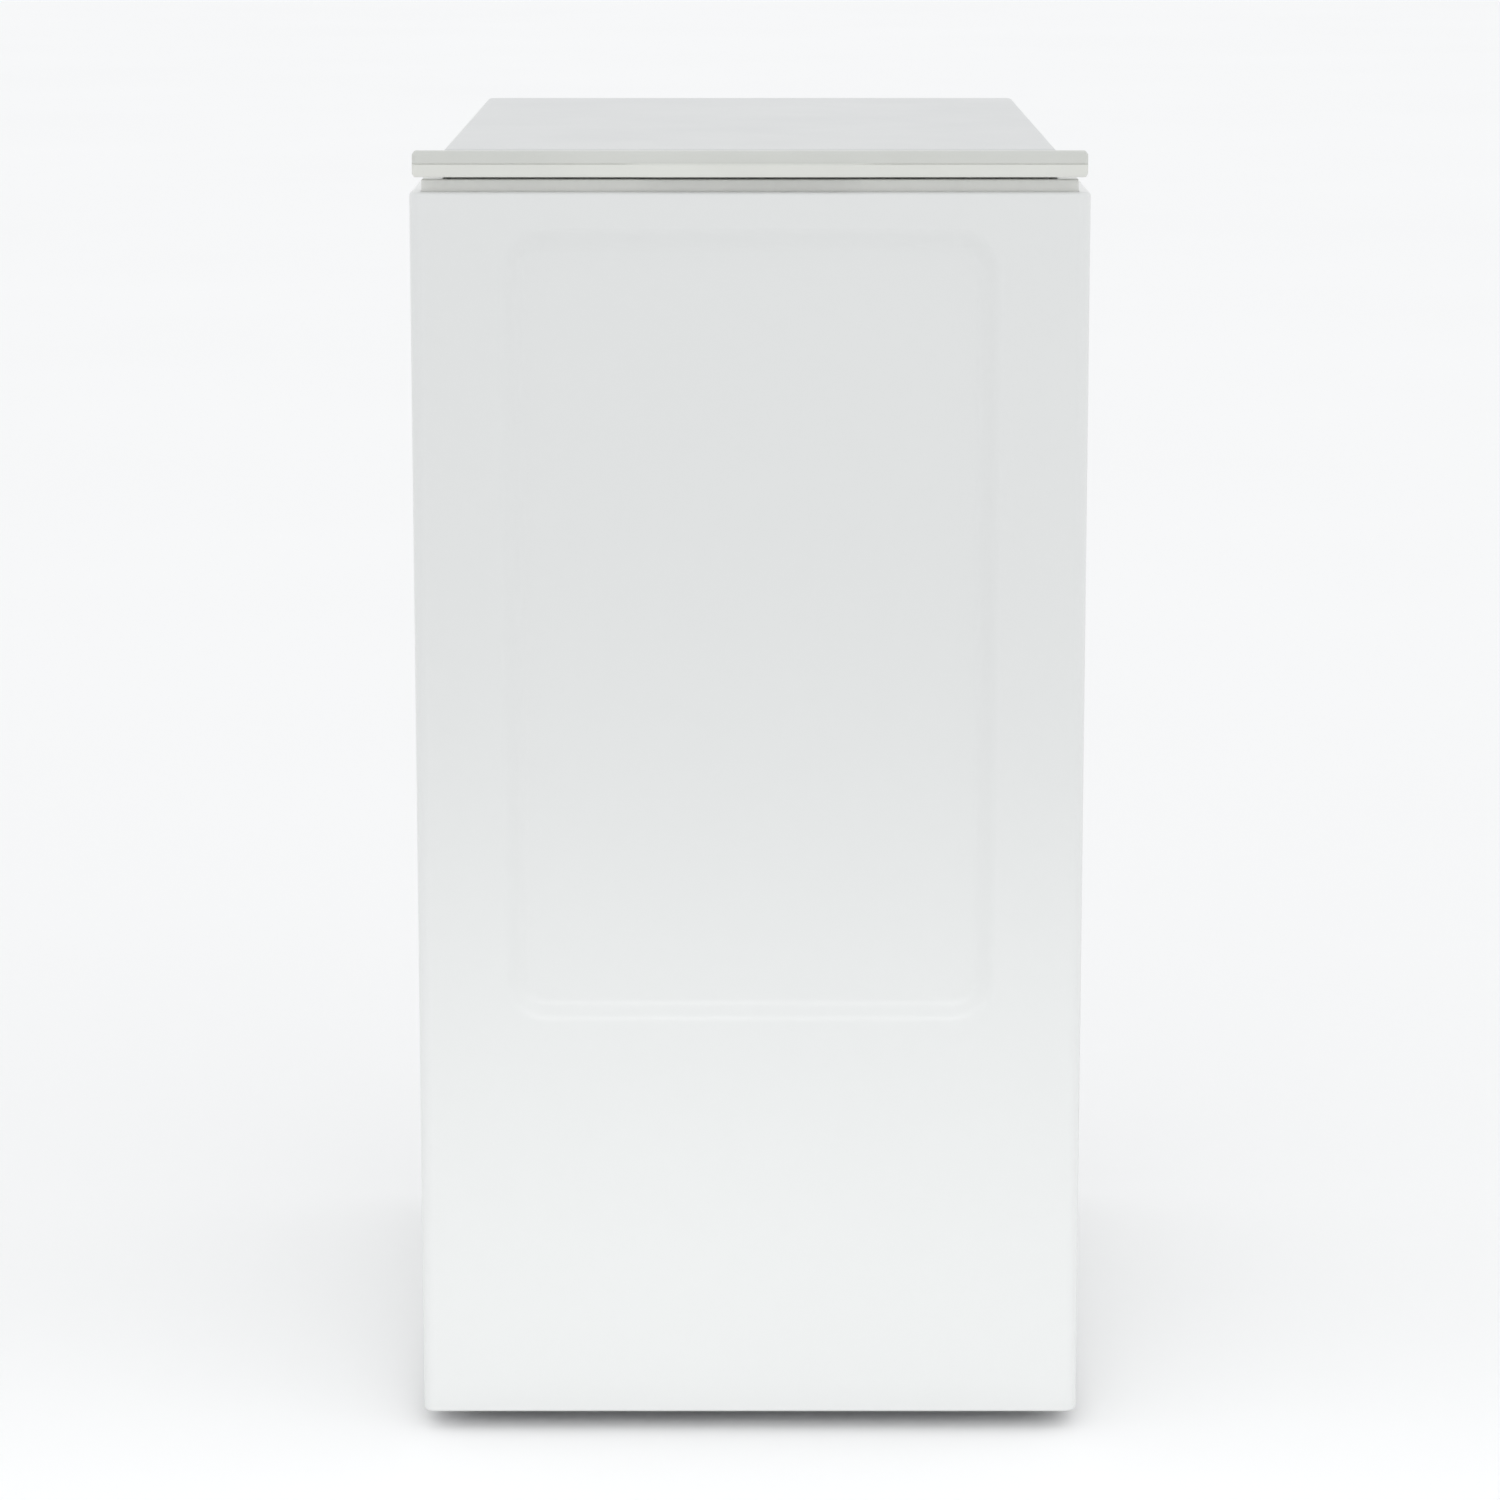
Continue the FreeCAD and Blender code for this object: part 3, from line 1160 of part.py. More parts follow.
def make_motor():
    """Drive motor hung under the tub on its cradle."""
    axis = (d.motor_y, d.motor_z)
    case = rod("x", d.motor_left, d.motor_right, axis, d.motor_radius)
    cap = rod("x", d.motor_right, d.motor_right + d.motor_cap, axis, d.motor_cap_radius)
    tail = rod("x", d.motor_left - d.motor_cap, d.motor_left, axis, d.motor_cap_radius)
    cradle = box((d.cradle_left, d.cradle_right), (d.motor_y - d.cradle_half, d.motor_y + d.cradle_half),
                 (d.motor_z + d.cradle_half / 2, d.tub_z - d.tub_radius + d.hanger_height))
    bore = rod("x", d.motor_right - d.motor_cap, d.motor_right + d.motor_cap + 1, axis,
               d.motor_shaft_radius + d.shaft_play)
    sub_part("drive_motor", cut(clear_of_tub(fuse(case, cap, tail, cradle)), bore))
    shaft = rod("x", d.motor_right - d.motor_cap + 1, d.pulley_left, axis, d.motor_shaft_radius)
    pulley = rod("x", d.pulley_left, d.pulley_right, axis, d.motor_pulley_radius)
    sub_part("motor_pulley", fuse(shaft, pulley))


make_belt()
make_motor()


# ------------------------------------------------------------------ suspension

def damper_points():
    return [(x, y) for x in (d.damper_left_x, d.damper_right_x) for y in (d.damper_front_y, d.damper_back_y)]


def make_dampers():
    """Four friction dampers: cylinders on the pan, rods with lugs on the tub."""
    cylinders = []
    rods = []
    for point in damper_points():
        case = rod("z", d.damper_low, d.damper_top, point, d.damper_radius)
        bore = rod("z", d.damper_low + d.damper_radius, d.damper_top + 1, point, d.rod_radius + d.rod_play)
        cylinders.append(cut(case, bore))
        x, y = point
        half = d.rod_lug_half
        lug = box((x - half, x + half), (y - half, y + half), (d.rod_lug_low, d.rod_lug_top))
        stem = rod("z", d.rod_low, d.rod_lug_low, point, d.rod_radius)
        rods.append(clear_of_tub(fuse(lug, stem)))
    sub_part("damper_cylinders", group(*cylinders))
    sub_part("damper_rods", group(*rods))


def spring_points():
    return [(d.spring_x * side, y) for side in (-1, 1) for y in (d.spring_front_y, d.spring_back_y)]


def make_springs():
    """Four tension springs that hang the tub from the rails."""
    low = d.hanger_low.value + d.hanger_height.value + d.spring_wire.value + d.contact_gap.value
    high = d.rail_low.value - d.spring_wire.value - d.contact_gap.value
    radius = d.spring_radius.value
    helix = Part.makeHelix(d.spring_pitch.value, high - low, radius)
    section = Part.Wire([Part.makeCircle(d.spring_wire.value, V(radius, 0, 0), V(0, 1, 0))])
    coil = Part.Wire(helix).makePipeShell([section], True, True)
    springs = []
    for x, y in spring_points():
        spring = solid_feature(coil)
        springs.append(place(spring, (x, y, low)))
    sub_part("suspension_springs", group(*springs))


def make_rails():
    """Two bars along the top of the cabinet that carry the springs."""
    rails = []
    for side in (-1, 1):
        inner, outer = (d.spring_x - d.rail_half) * side, d.rail_outer * side
        x = sorted((inner, outer), key=lambda value: value.value)
        rails.append(box(x, (d.rail_front, d.rail_back), (d.rail_low, d.rail_low + d.rail_height)))
    sub_part("spring_rails", group(*rails))


make_dampers()
make_springs()
make_rails()


# ------------------------------------------------------------------ hoses, pump and rear fittings

def make_bellows():
    """Soft neck between the tub's collar and the loading mouth."""
    body = new_body("door_bellows")
    outer = d.mouth_margin - d.neck_wall - d.bellows_gap
    inner = outer - d.neck_wall
    for action, margin, low, high in (
            (pad, outer, d.collar_top + d.contact_gap, d.deck_low),
            (pocket, inner, d.collar_top - d.sheet, d.deck_low + d.sheet)):
        action(body, "XY_Plane", low, high,
               rounded((d.neck_left - margin, d.neck_right + margin),
                       (d.neck_front - margin, d.neck_back + margin), d.neck_corner + margin))


def make_straight_hoses():
    """The two upright hoses that end on the tub: tray to spout and sump to pump."""
    sub_part("dispenser_hose", tube("z", d.spout_low + d.contact_gap, d.tray_low - d.contact_gap,
                                    (d.spout_x, d.spout_y), d.spout_radius, d.spout_bore))
    sub_part("sump_hose", tube("z", d.sump_low + d.contact_gap, d.sump_high - d.contact_gap,
                               (d.sump_x, d.sump_y), d.sump_radius, d.sump_bore))


def make_pump():
    """Drain pump under the sump: volute, impeller and motor on one axis."""
    axis = (d.sump_x, d.pump_z)
    volute = rod("y", d.pump_front, d.pump_back, axis, d.pump_radius)
    inlet = rod("z", d.pump_z, d.sump_low, (d.sump_x, d.sump_y), d.sump_radius)
    outlet = rod("x", d.pump_nozzle_end, d.sump_x, (d.sump_y, d.drain_start_z), d.drain_radius)
    foot = box((d.sump_x - d.pump_radius, d.sump_x + d.pump_radius), (d.pump_front, d.pump_back),
               (d.damper_low, d.pump_z - d.pump_radius / 2))
    chamber = rod("y", d.pump_front + d.pump_wall, d.impeller_back + 1, axis, d.pump_radius - d.pump_wall)
    inlet_bore = rod("z", d.pump_z, d.sump_low + 1, (d.sump_x, d.sump_y), d.sump_bore)
    outlet_bore = rod("x", d.pump_nozzle_end - 1, d.sump_x, (d.sump_y, d.drain_start_z), d.drain_bore)
    shaft_bore = rod("y", d.impeller_back, d.pump_back + 1, axis, d.impeller_shaft + d.shaft_play)
    case = fuse(volute, inlet, outlet, foot)
    sub_part("drain_pump", cut(case, chamber, inlet_bore, outlet_bore, shaft_bore))
    motor_case = rod("y", d.pump_back, d.pump_motor_back, axis, d.pump_motor_radius)
    motor_bore = rod("y", d.pump_back - 1, d.pump_back + d.pump_motor_radius, axis,
                     d.impeller_shaft + d.shaft_play)
    sub_part("pump_motor", cut(motor_case, motor_bore))
    shaft = rod("y", d.impeller_front, d.pump_back + d.pump_motor_radius - 1, axis, d.impeller_shaft)
    hub = rod("y", d.impeller_front, d.impeller_back, axis, d.impeller_shaft * 2)
    half = d.sheet
    upright = box((d.sump_x - half, d.sump_x + half), (d.impeller_front, d.impeller_back),
                  (d.pump_z - d.impeller_radius, d.pump_z + d.impeller_radius))
    level = box((d.sump_x - d.impeller_radius, d.sump_x + d.impeller_radius),
                (d.impeller_front, d.impeller_back), (d.pump_z - half, d.pump_z + half))
    sub_part("pump_impeller", fuse(shaft, hub, upright, level))


def bent_path(corners, bend):
    """A wire of straight runs joined by tangent arcs of one radius."""
    edges = []
    start = corners[0]
    for before, corner, after in zip(corners, corners[1:], corners[2:]):
        back = (before - corner).normalize()
        on = (after - corner).normalize()
        reach = bend * math.tan((math.pi - back.getAngle(on)) / 2)
        first, last = corner + back * reach, corner + on * reach
        centre = corner + (back + on).normalize() * math.hypot(bend, reach)
        middle = centre + (corner - centre).normalize() * bend
        edges += [Part.makeLine(start, first), Part.Arc(first, middle, last).toShape()]
        start = last
    edges.append(Part.makeLine(start, corners[-1]))
    return Part.Wire(edges)


def make_drain_hose():
    """Drain hose from the pump along the left wall and up to the spigot in the back."""
    start_z, exit_z, x = d.drain_start_z.value, d.drain_exit_z.value, d.drain_x.value
    front_y, back_y = d.sump_y.value, d.drain_turn_y.value
    corners = [V(d.pump_nozzle_end.value, front_y, start_z), V(x, front_y, start_z), V(x, back_y, start_z),
               V(x, back_y, exit_z), V(x, d.drain_hose_end.value, exit_z)]
    path = bent_path(corners, d.drain_bend.value)
    solids = []
    for radius in (d.drain_radius.value, d.drain_bore.value):
        section = Part.Wire([Part.makeCircle(radius, corners[0], V(1, 0, 0))])
        solids.append(path.makePipeShell([section], True, False))
    hose = solids[0].cut(solids[1])
    expected = math.pi * (d.drain_radius.value ** 2 - d.drain_bore.value ** 2) * path.Length
    print(f"drain hose volume {hose.Volume:.0f}, expected {expected:.0f}")
    sub_part("drain_hose", solid_feature(hose))
    axis = (d.drain_x, d.drain_exit_z)
    pipe = rod("y", d.drain_hose_end + d.contact_gap, d.drain_spigot_end, axis, d.drain_radius)
    flange = rod("y", d.drain_exit_y, d.drain_flange_back, axis, d.drain_flange_radius)
    bore = rod("y", d.drain_hose_end - 1, d.drain_spigot_end + 1, axis, d.spigot_bore)
    sub_part("drain_outlet", cut(fuse(pipe, flange), bore))


def make_cord_gland():
    """Gland in the back sheet for the mains lead."""
    axis = (d.gland_x, d.gland_z)
    head = rod("y", d.drain_exit_y, d.gland_back, axis, d.gland_radius)
    neck = rod("y", d.drain_exit_y - d.flange / 2, d.drain_exit_y, axis, d.gland_neck)
    bore = rod("y", d.drain_exit_y - d.flange, d.gland_back + 1, axis, d.gland_bore)
    sub_part("cord_gland", cut(fuse(head, neck), bore))


make_bellows()
make_straight_hoses()
make_pump()
make_drain_hose()
make_cord_gland()


# ------------------------------------------------------------------ writing the files

def check_document():
    doc.recompute()
    failed = [obj.Name for obj in doc.Objects if "Invalid" in obj.State or "Error" in obj.State]
    if failed:
        raise RuntimeError(f"objects failed: {failed}")
    for obj in sub_parts:
        if obj.Shape.isNull() or not obj.Shape.isValid():
            raise RuntimeError(f"{obj.Label} has no valid shape")


check_document()
os.makedirs("parts", exist_ok=True)
if len(sub_parts) > NODE_LIMIT:
    raise RuntimeError(f"{len(sub_parts)} sub-parts are more than {NODE_LIMIT}")
for obj in sub_parts:
    obj.Shape.exportStep(f"parts/{obj.Label}.step")
print(len(sub_parts), "sub-parts written")
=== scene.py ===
"""Looks for the top load washing machine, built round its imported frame.

Shapes are worked out in millimetres in the frame's own axes (+Z up, the front faces -Y) and turned
into metres where each mesh is made. A turned shape's profile is a list of (radius, level) pairs and
a block's levels are (inset, height) pairs.
"""
import json
import math
from collections import Counter

import bmesh
import bpy
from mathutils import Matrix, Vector


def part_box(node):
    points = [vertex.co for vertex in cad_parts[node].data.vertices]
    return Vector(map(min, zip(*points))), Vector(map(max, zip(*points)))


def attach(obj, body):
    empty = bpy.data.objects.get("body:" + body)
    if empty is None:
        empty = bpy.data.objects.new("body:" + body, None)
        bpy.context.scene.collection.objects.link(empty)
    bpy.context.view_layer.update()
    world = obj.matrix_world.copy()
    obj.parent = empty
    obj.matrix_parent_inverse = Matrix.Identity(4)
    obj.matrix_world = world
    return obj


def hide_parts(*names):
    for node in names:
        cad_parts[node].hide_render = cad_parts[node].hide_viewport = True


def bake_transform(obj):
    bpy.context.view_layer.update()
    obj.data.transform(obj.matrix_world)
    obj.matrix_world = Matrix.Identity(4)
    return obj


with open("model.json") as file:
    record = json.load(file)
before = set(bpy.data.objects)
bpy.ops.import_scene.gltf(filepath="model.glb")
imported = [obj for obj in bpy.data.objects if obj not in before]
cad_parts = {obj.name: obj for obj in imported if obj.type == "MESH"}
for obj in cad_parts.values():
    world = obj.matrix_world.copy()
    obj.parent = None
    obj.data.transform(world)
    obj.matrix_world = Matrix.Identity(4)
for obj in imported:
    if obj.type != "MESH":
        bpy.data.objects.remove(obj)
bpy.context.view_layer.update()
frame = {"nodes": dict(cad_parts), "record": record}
nodes = frame["nodes"]

MM = 0.001
FULL_TURN = 2 * math.pi
CAPPED = (True, True)


# ---- measuring

def span(node):
    """A node's lowest and highest corners in millimetres."""
    low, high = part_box(node)
    return low / MM, high / MM


def upright_axis(low, high):
    """Where the middle line of an upright box stands."""
    return ((low.x + high.x) / 2, (low.y + high.y) / 2, 0)


def smooth_step(value):
    """0 below 0, 1 above 1 and a soft rise between them."""
    value = min(max(value, 0.0), 1.0)
    return value * value * (3 - 2 * value)


def spread(low, high, step):
    """Evenly spaced values from low to high, about step apart."""
    count = max(1, round(abs(high - low) / step))
    return [low + (high - low) * index / count for index in range(count + 1)]


def spread_between(marks, step_at):
    """Values through every mark; step_at gives the step for the middle of each stretch."""
    marks = sorted(set(marks))
    values = marks[:1]
    for start, end in zip(marks, marks[1:]):
        values += spread(start, end, step_at((start + end) / 2))[1:]
    return values


def graded(low, high, bands, fine, coarse):
    """Values from low to high: fine steps inside the bands, coarse ones between them."""
    edges = [min(max(edge, low), high) for band in bands for edge in band]
    return spread_between([low, high, *edges], lambda middle: fine if any(
        first <= middle <= last for first, last in bands) else coarse)


def arc(centre, radius, start, end, steps):
    """Points on a circle between two angles in degrees."""
    turns = [math.radians(start + (end - start) * index / steps) for index in range(steps + 1)]
    return [(centre[0] + radius * math.cos(turn), centre[1] + radius * math.sin(turn)) for turn in turns]


def quarter(radius, steps=5):
    """(inset, rise) pairs round a quarter circle, from the flat to the upright."""
    turns = [math.radians(90 * index / steps) for index in range(steps + 1)]
    return [(radius * (1 - math.sin(turn)), radius * (1 - math.cos(turn))) for turn in turns]


def rounded_outline(low, high, radius, steps=6):
    """Points round a rounded rectangle, anticlockwise; low and high are opposite corners."""
    radius = max(radius, 0.01)
    corners = [((high[0] - radius, low[1] + radius), -90), ((high[0] - radius, high[1] - radius), 0),
               ((low[0] + radius, high[1] - radius), 90), ((low[0] + radius, low[1] + radius), 180)]
    return [point for centre, start in corners for point in arc(centre, radius, start, start + 90, steps)]


def depth_inside(across, along, low, high, corner):
    """How far a place lies inside a rounded rectangle; below 0 outside it."""
    over_x = abs(across - (low[0] + high[0]) / 2) - ((high[0] - low[0]) / 2 - corner)
    over_y = abs(along - (low[1] + high[1]) / 2) - ((high[1] - low[1]) / 2 - corner)
    return corner - math.hypot(max(over_x, 0), max(over_y, 0)) - min(max(over_x, over_y), 0)


# ---- meshing

def shell(rings, wrap=True, closed=False, ends=(False, False), slots=None, slot=0):
    """A surface through rings of equally many points: its points, faces and slot of each face.

    wrap joins each ring's last point to its first and closed joins the last ring to the first;
    ends caps the first and last rings; slots gives a material for each column of faces.
    """
    width = len(rings[0])
    points = [tuple(point) for ring in rings for point in ring]
    total = len(rings)
    columns = width if wrap else width - 1
    faces = []
    shades = []
    for row in range(total if closed else total - 1):
        start, ahead = row * width, (row + 1) % total * width
        for column in range(columns):
            after = (column + 1) % width
            faces.append((start + column, start + after, ahead + after, ahead + column))
            shades.append(slots[column] if slots else slot)
    if ends[0]:
        faces.append(tuple(reversed(range(width))))
        shades.append(slot)
    if ends[1]:
        faces.append(tuple(range(len(points) - width, len(points))))
        shades.append(slot)
    return points, faces, shades


def block(low, high, radius, levels, steps, slot=0, backwards=False):
    """A capped rounded block; backwards stands it up so that its height points to the back."""
    rings = []
    for inset, level in levels:
        outline = rounded_outline((low[0] + inset, low[1] + inset), (high[0] - inset, high[1] - inset),
                                  radius - inset, steps)
        rings.append([(x, level, y) if backwards else (x, y, level) for x, y in outline])
    return shell(rings, ends=CAPPED, slot=slot)


def lathe(profile, centre, axis, steps=64, ripple=None, ends=(False, False), slot=0):
    """A turned surface; ripple scales the radius with the angle and the level."""
    rings = []
    for radius, level in profile:
        ring = []
        for index in range(steps):
            turn = FULL_TURN * index / steps
            reach = radius * (ripple(turn, level) if ripple else 1)
            across, up = reach * math.cos(turn), reach * math.sin(turn)
            offset = {"z": (across, up, level), "y": (across, level, up), "x": (level, across, up)}[axis]
            ring.append([base + step for base, step in zip(centre, offset)])
        rings.append(ring)
    return shell(rings, ends=ends, slot=slot)


def tube_along(path, radius, sides):
    """A round bar along a path of points, carried without twist; radius is given for each point."""
    path = [Vector(point) for point in path]
    rings = []
    across = None
    for index, point in enumerate(path):
        ahead = path[min(index + 1, len(path) - 1)] - path[max(index - 1, 0)]
        ahead.normalize()
        if across is None:
            across = ahead.orthogonal()
        across = (across - ahead * across.dot(ahead)).normalized()
        side = ahead.cross(across)
        rings.append([point + (across * math.cos(turn) + side * math.sin(turn)) * radius(index)
                      for turn in (FULL_TURN * step / sides for step in range(sides))])
    return shell(rings, ends=CAPPED)


def curve_shape(data):
    """The points and faces of a curve's own mesh; the curve itself is thrown away."""
    carrier = bpy.data.objects.new("carrier", data)
    mesh = bpy.data.meshes.new_from_object(carrier)
    points = [vertex.co.copy() for vertex in mesh.vertices]
    faces = [tuple(face.vertices) for face in mesh.polygons]
    bpy.data.objects.remove(carrier)
    bpy.data.curves.remove(data)
    bpy.data.meshes.remove(mesh)
    return points, faces


def spline_path(route, step):
    """Points a step apart on the smooth curve that a route's points control."""
    data = bpy.data.curves.new("route", "CURVE")
    data.dimensions = "3D"
    data.resolution_u = 24
    line = data.splines.new("NURBS")
    line.points.add(len(route) - 1)
    for point, place in zip(line.points, route):
        point.co = (*place, 1)
    line.order_u = 3
    line.use_endpoint_u = True
    dense, _ = curve_shape(data)
    spaced = [dense[0]]
    for first, last in zip(dense, dense[1:]):
        while (last - spaced[-1]).length > step and (last - first).length > 0:
            spaced.append(spaced[-1] + (last - spaced[-1]).normalized() * step)
    return spaced


def build(name, shells, *materials):
    """One smooth shaded object from surfaces in millimetres."""
    points = []
    faces = []
    shades = []
    for some_points, some_faces, some_shades in shells:
        start = len(points)
        points += [Vector(point) * MM for point in some_points]
        faces += [tuple(start + index for index in face) for face in some_faces]
        shades += some_shades
    mesh = bpy.data.meshes.new(name)
    mesh.from_pydata(points, [], faces)
    for material in materials:
        mesh.materials.append(material)
    mesh.polygons.foreach_set("use_smooth", [True] * len(faces))
    mesh.polygons.foreach_set("material_index", shades)
    mesh.update()
    piece = bpy.data.objects.new(name, mesh)
    bpy.context.collection.objects.link(piece)
    return piece


def sharpen(piece, angle):
    """Keep edges crisp where faces meet at more than an angle, in degrees."""
    piece.data.set_sharp_from_angle(angle=math.radians(angle))
    return piece


def face_out(piece, inside):
    """Turn the faces so that most of them look away from a point in millimetres."""
    centre = Vector(inside) * MM
    score = sum(face.area * face.normal.dot(face.center - centre) for face in piece.data.polygons)
    if score < 0:
        piece.data.flip_normals()
    return piece


def tidy_normals(piece):
    """Turn the faces of closed surfaces outwards."""
    mesh = bmesh.new()
    mesh.from_mesh(piece.data)
    bmesh.ops.recalc_face_normals(mesh, faces=mesh.faces)
    mesh.to_mesh(piece.data)
    mesh.free()
    return piece


def thicken(piece, amount):
    """Give an open sheet its thickness, inwards from the side it faces, with crisp cut edges."""
    used = Counter(key for polygon in piece.data.polygons for key in polygon.edge_keys)
    for edge in piece.data.edges:
        if used[edge.key] == 1:
            edge.use_edge_sharp = True
    solid = piece.modifiers.new("thickness", "SOLIDIFY")
    solid.thickness = amount * MM
    solid.offset = -1
    return piece


def settle(piece, body, slot, *replaced):
    """Give a piece its body and hide the nodes it stands for; slot is not used."""
    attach(piece, body)
    if replaced:
        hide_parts(*replaced)
    return piece


def settle_soft(piece, node):
    """Bake a soft piece's shape in place and hide the node it stands for."""
    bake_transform(piece)
    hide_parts(node)
    return piece


def closed_piece(name, surfaces, body, slot, *replaced, angle=40, other=()):
    """A piece of closed surfaces with crisp edges, in its slot's finish and any other finishes."""
    piece = build(name, surfaces, FINISHES[slot], *[FINISHES[extra] for extra in other])
    return settle(sharpen(tidy_normals(piece), angle), body, slot, *replaced)


# ---- finishes

def new_graph(name):
    """A material with its node tree, its shader and the object's coordinates."""
    material = bpy.data.materials.new(name)
    material.use_nodes = True
    tree = material.node_tree
    shader = tree.nodes["Principled BSDF"]
    coordinates = tree.nodes.new("ShaderNodeTexCoord").outputs["Object"]
    return material, tree, shader, coordinates


def add_node(tree, kind, links=None, **settings):
    """A node with its settings, its input values and its input links."""
    node = tree.nodes.new(kind)
    for prop, value in settings.items():
        setattr(node, prop, value)
    for socket, value in (links or {}).items():
        if isinstance(value, bpy.types.NodeSocket):
            tree.links.new(value, node.inputs[socket])
        else:
            node.inputs[socket].default_value = value
    return node


def noise(tree, where, scale, detail=3.0, stretch=(1, 1, 1)):
    """Noise over the object, stretched along the axes; its value lies about 0.5."""
    mapping = add_node(tree, "ShaderNodeMapping", {"Vector": where, "Scale": stretch})
    texture = add_node(tree, "ShaderNodeTexNoise",
                       {"Vector": mapping.outputs[0], "Scale": scale, "Detail": detail, "Roughness": 0.55})
    return texture.outputs[0]


def remap(tree, value, low, high, start=0.3, end=0.7):
    """A texture's value moved from start..end to low..high."""
    node = add_node(tree, "ShaderNodeMapRange",
                    {"Value": value, "From Min": start, "From Max": end, "To Min": low, "To Max": high})
    return node.outputs[0]


def blend(tree, factor, first, second):
    """A colour between two others."""
    node = add_node(tree, "ShaderNodeMix", data_type="RGBA")
    tree.links.new(factor, node.inputs["Factor"])
    for socket, colour in ((6, first), (7, second)):
        if isinstance(colour, bpy.types.NodeSocket):
            tree.links.new(colour, node.inputs[socket])
        else:
            node.inputs[socket].default_value = (*colour, 1)
    return node.outputs[2]


def bump(tree, shader, height, depth, below=None):
    """Relief on the surface, depth in millimetres, over any relief below it."""
    inputs = {"Height": height, "Distance": depth * MM, "Strength": 1.0}
    if below is not None:
        inputs["Normal"] = below
    node = add_node(tree, "ShaderNodeBump", inputs)
    tree.links.new(node.outputs[0], shader.inputs["Normal"])
    return node.outputs[0]


# Light colour, dark colour, roughness and its spread, scales of the clouds and the grain, grain depth
PLAIN_FINISHES = {
    "white_enamel": ((0.725, 0.735, 0.730), (0.715, 0.725, 0.721), 0.36, 0.03, 2.5, 300.0, 0.004),
    "rear_enamel": ((0.68, 0.69, 0.69), (0.63, 0.64, 0.64), 0.42, 0.06, 4.0, 500.0, 0.02),
    # lid_enamel is the white enamel painted darker: painted shade for the dimmer light on the lid's top.
    "lid_enamel": ((0.645, 0.653, 0.650), (0.632, 0.640, 0.640), 0.48, 0.04, 3.0, 300.0, 0.004),
    "nose_plastic": ((0.61, 0.62, 0.59), (0.58, 0.59, 0.56), 0.42, 0.05, 12.0, 1400.0, 0.02),
    # The lip's finish is the nose plastic painted lighter: a painted highlight where the lip faces up into
    # the light.
    "nose_lip_painted_highlight": ((0.70, 0.71, 0.67), (0.67, 0.675, 0.64), 0.36, 0.05, 12.0, 1400.0, 0.015),
    "frame_plastic": ((0.74, 0.745, 0.72), (0.70, 0.705, 0.68), 0.42, 0.05, 8.0, 1500.0, 0.025),
    "fascia_plastic": ((0.60, 0.61, 0.60), (0.56, 0.57, 0.56), 0.38, 0.05, 9.0, 1600.0, 0.02),
    "tray_plastic": ((0.78, 0.80, 0.81), (0.74, 0.76, 0.77), 0.25, 0.05, 10.0, 900.0, 0.01),
    "valve_plastic": ((0.72, 0.72, 0.68), (0.66, 0.66, 0.62), 0.45, 0.06, 18.0, 1400.0, 0.03),
    "black_plastic": ((0.035, 0.035, 0.038), (0.02, 0.02, 0.022), 0.45, 0.08, 25.0, 1600.0, 0.03),
    "dial_plastic": ((0.68, 0.68, 0.66), (0.64, 0.64, 0.62), 0.28, 0.04, 25.0, 1600.0, 0.01),
    "tub_plastic": ((0.48, 0.49, 0.49), (0.40, 0.41, 0.41), 0.55, 0.07, 8.0, 500.0, 0.06),
    "lifter_plastic": ((0.62, 0.64, 0.66), (0.56, 0.58, 0.60), 0.38, 0.05, 18.0, 1200.0, 0.02),
    "spring_steel": ((0.32, 0.32, 0.33), (0.2, 0.2, 0.21), 0.36, 0.08, 60.0, 900.0, 0.02),
    "bearing_steel": ((0.58, 0.58, 0.60), (0.48, 0.48, 0.5), 0.22, 0.06, 30.0, 700.0, 0.01),
    "cast_aluminium": ((0.62, 0.63, 0.64), (0.52, 0.53, 0.54), 0.5, 0.08, 20.0, 380.0, 0.12),
    "motor_metal": ((0.42, 0.43, 0.44), (0.34, 0.35, 0.36), 0.48, 0.08, 24.0, 420.0, 0.1),
    "black_rubber": ((0.030, 0.030, 0.032), (0.055, 0.054, 0.052), 0.72, 0.1, 30.0, 900.0, 0.05),
    "grey_rubber": ((0.30, 0.31, 0.32), (0.25, 0.26, 0.27), 0.6, 0.08, 14.0, 900.0, 0.04),
    "hose_plastic": ((0.30, 0.31, 0.32), (0.24, 0.25, 0.26), 0.5, 0.06, 20.0, 900.0, 0.02),
    "print_ink": ((0.10, 0.11, 0.12), (0.08, 0.09, 0.10), 0.5, 0.05, 60.0, 700.0, 0.005),
    "lamp_lens": ((0.55, 0.62, 0.56), (0.50, 0.57, 0.51), 0.15, 0.03, 90.0, 900.0, 0.004),
}
METALLIC = {"spring_steel": 1.0, "bearing_steel": 1.0, "cast_aluminium": 0.9, "motor_metal": 0.85}
COAT = {"white_enamel": 0.12, "dial_plastic": 0.2, "lamp_lens": 0.5}
RIPPLE_DEPTH = {"white_enamel": 0.03, "rear_enamel": 0.12, "lid_enamel": 0.03}
RIPPLE_SCALE = 14.0


def finish(name, light, dark, roughness, rough_spread, cloud_scale, grain_scale, grain_depth):
    """A finish with cloudy colour, uneven gloss, a fine grain and, on sheet metal, slow ripples."""
    material, tree, shader, where = new_graph(name)
    cloud = noise(tree, where, cloud_scale)
    tree.links.new(blend(tree, remap(tree, cloud, 0, 1), light, dark), shader.inputs["Base Color"])
    polish = noise(tree, where, cloud_scale * 4)
    tree.links.new(remap(tree, polish, roughness - rough_spread, roughness + rough_spread),
                   shader.inputs["Roughness"])
    shader.inputs["Metallic"].default_value = METALLIC.get(name, 0.0)
    shader.inputs["Coat Weight"].default_value = COAT.get(name, 0.0)
    shader.inputs["Coat Roughness"].default_value = 0.12
    relief = None
    if name in RIPPLE_DEPTH:
        relief = bump(tree, shader, noise(tree, where, RIPPLE_SCALE, 1.0), RIPPLE_DEPTH[name])
    bump(tree, shader, noise(tree, where, grain_scale, 2.0), grain_depth, relief)
    return material


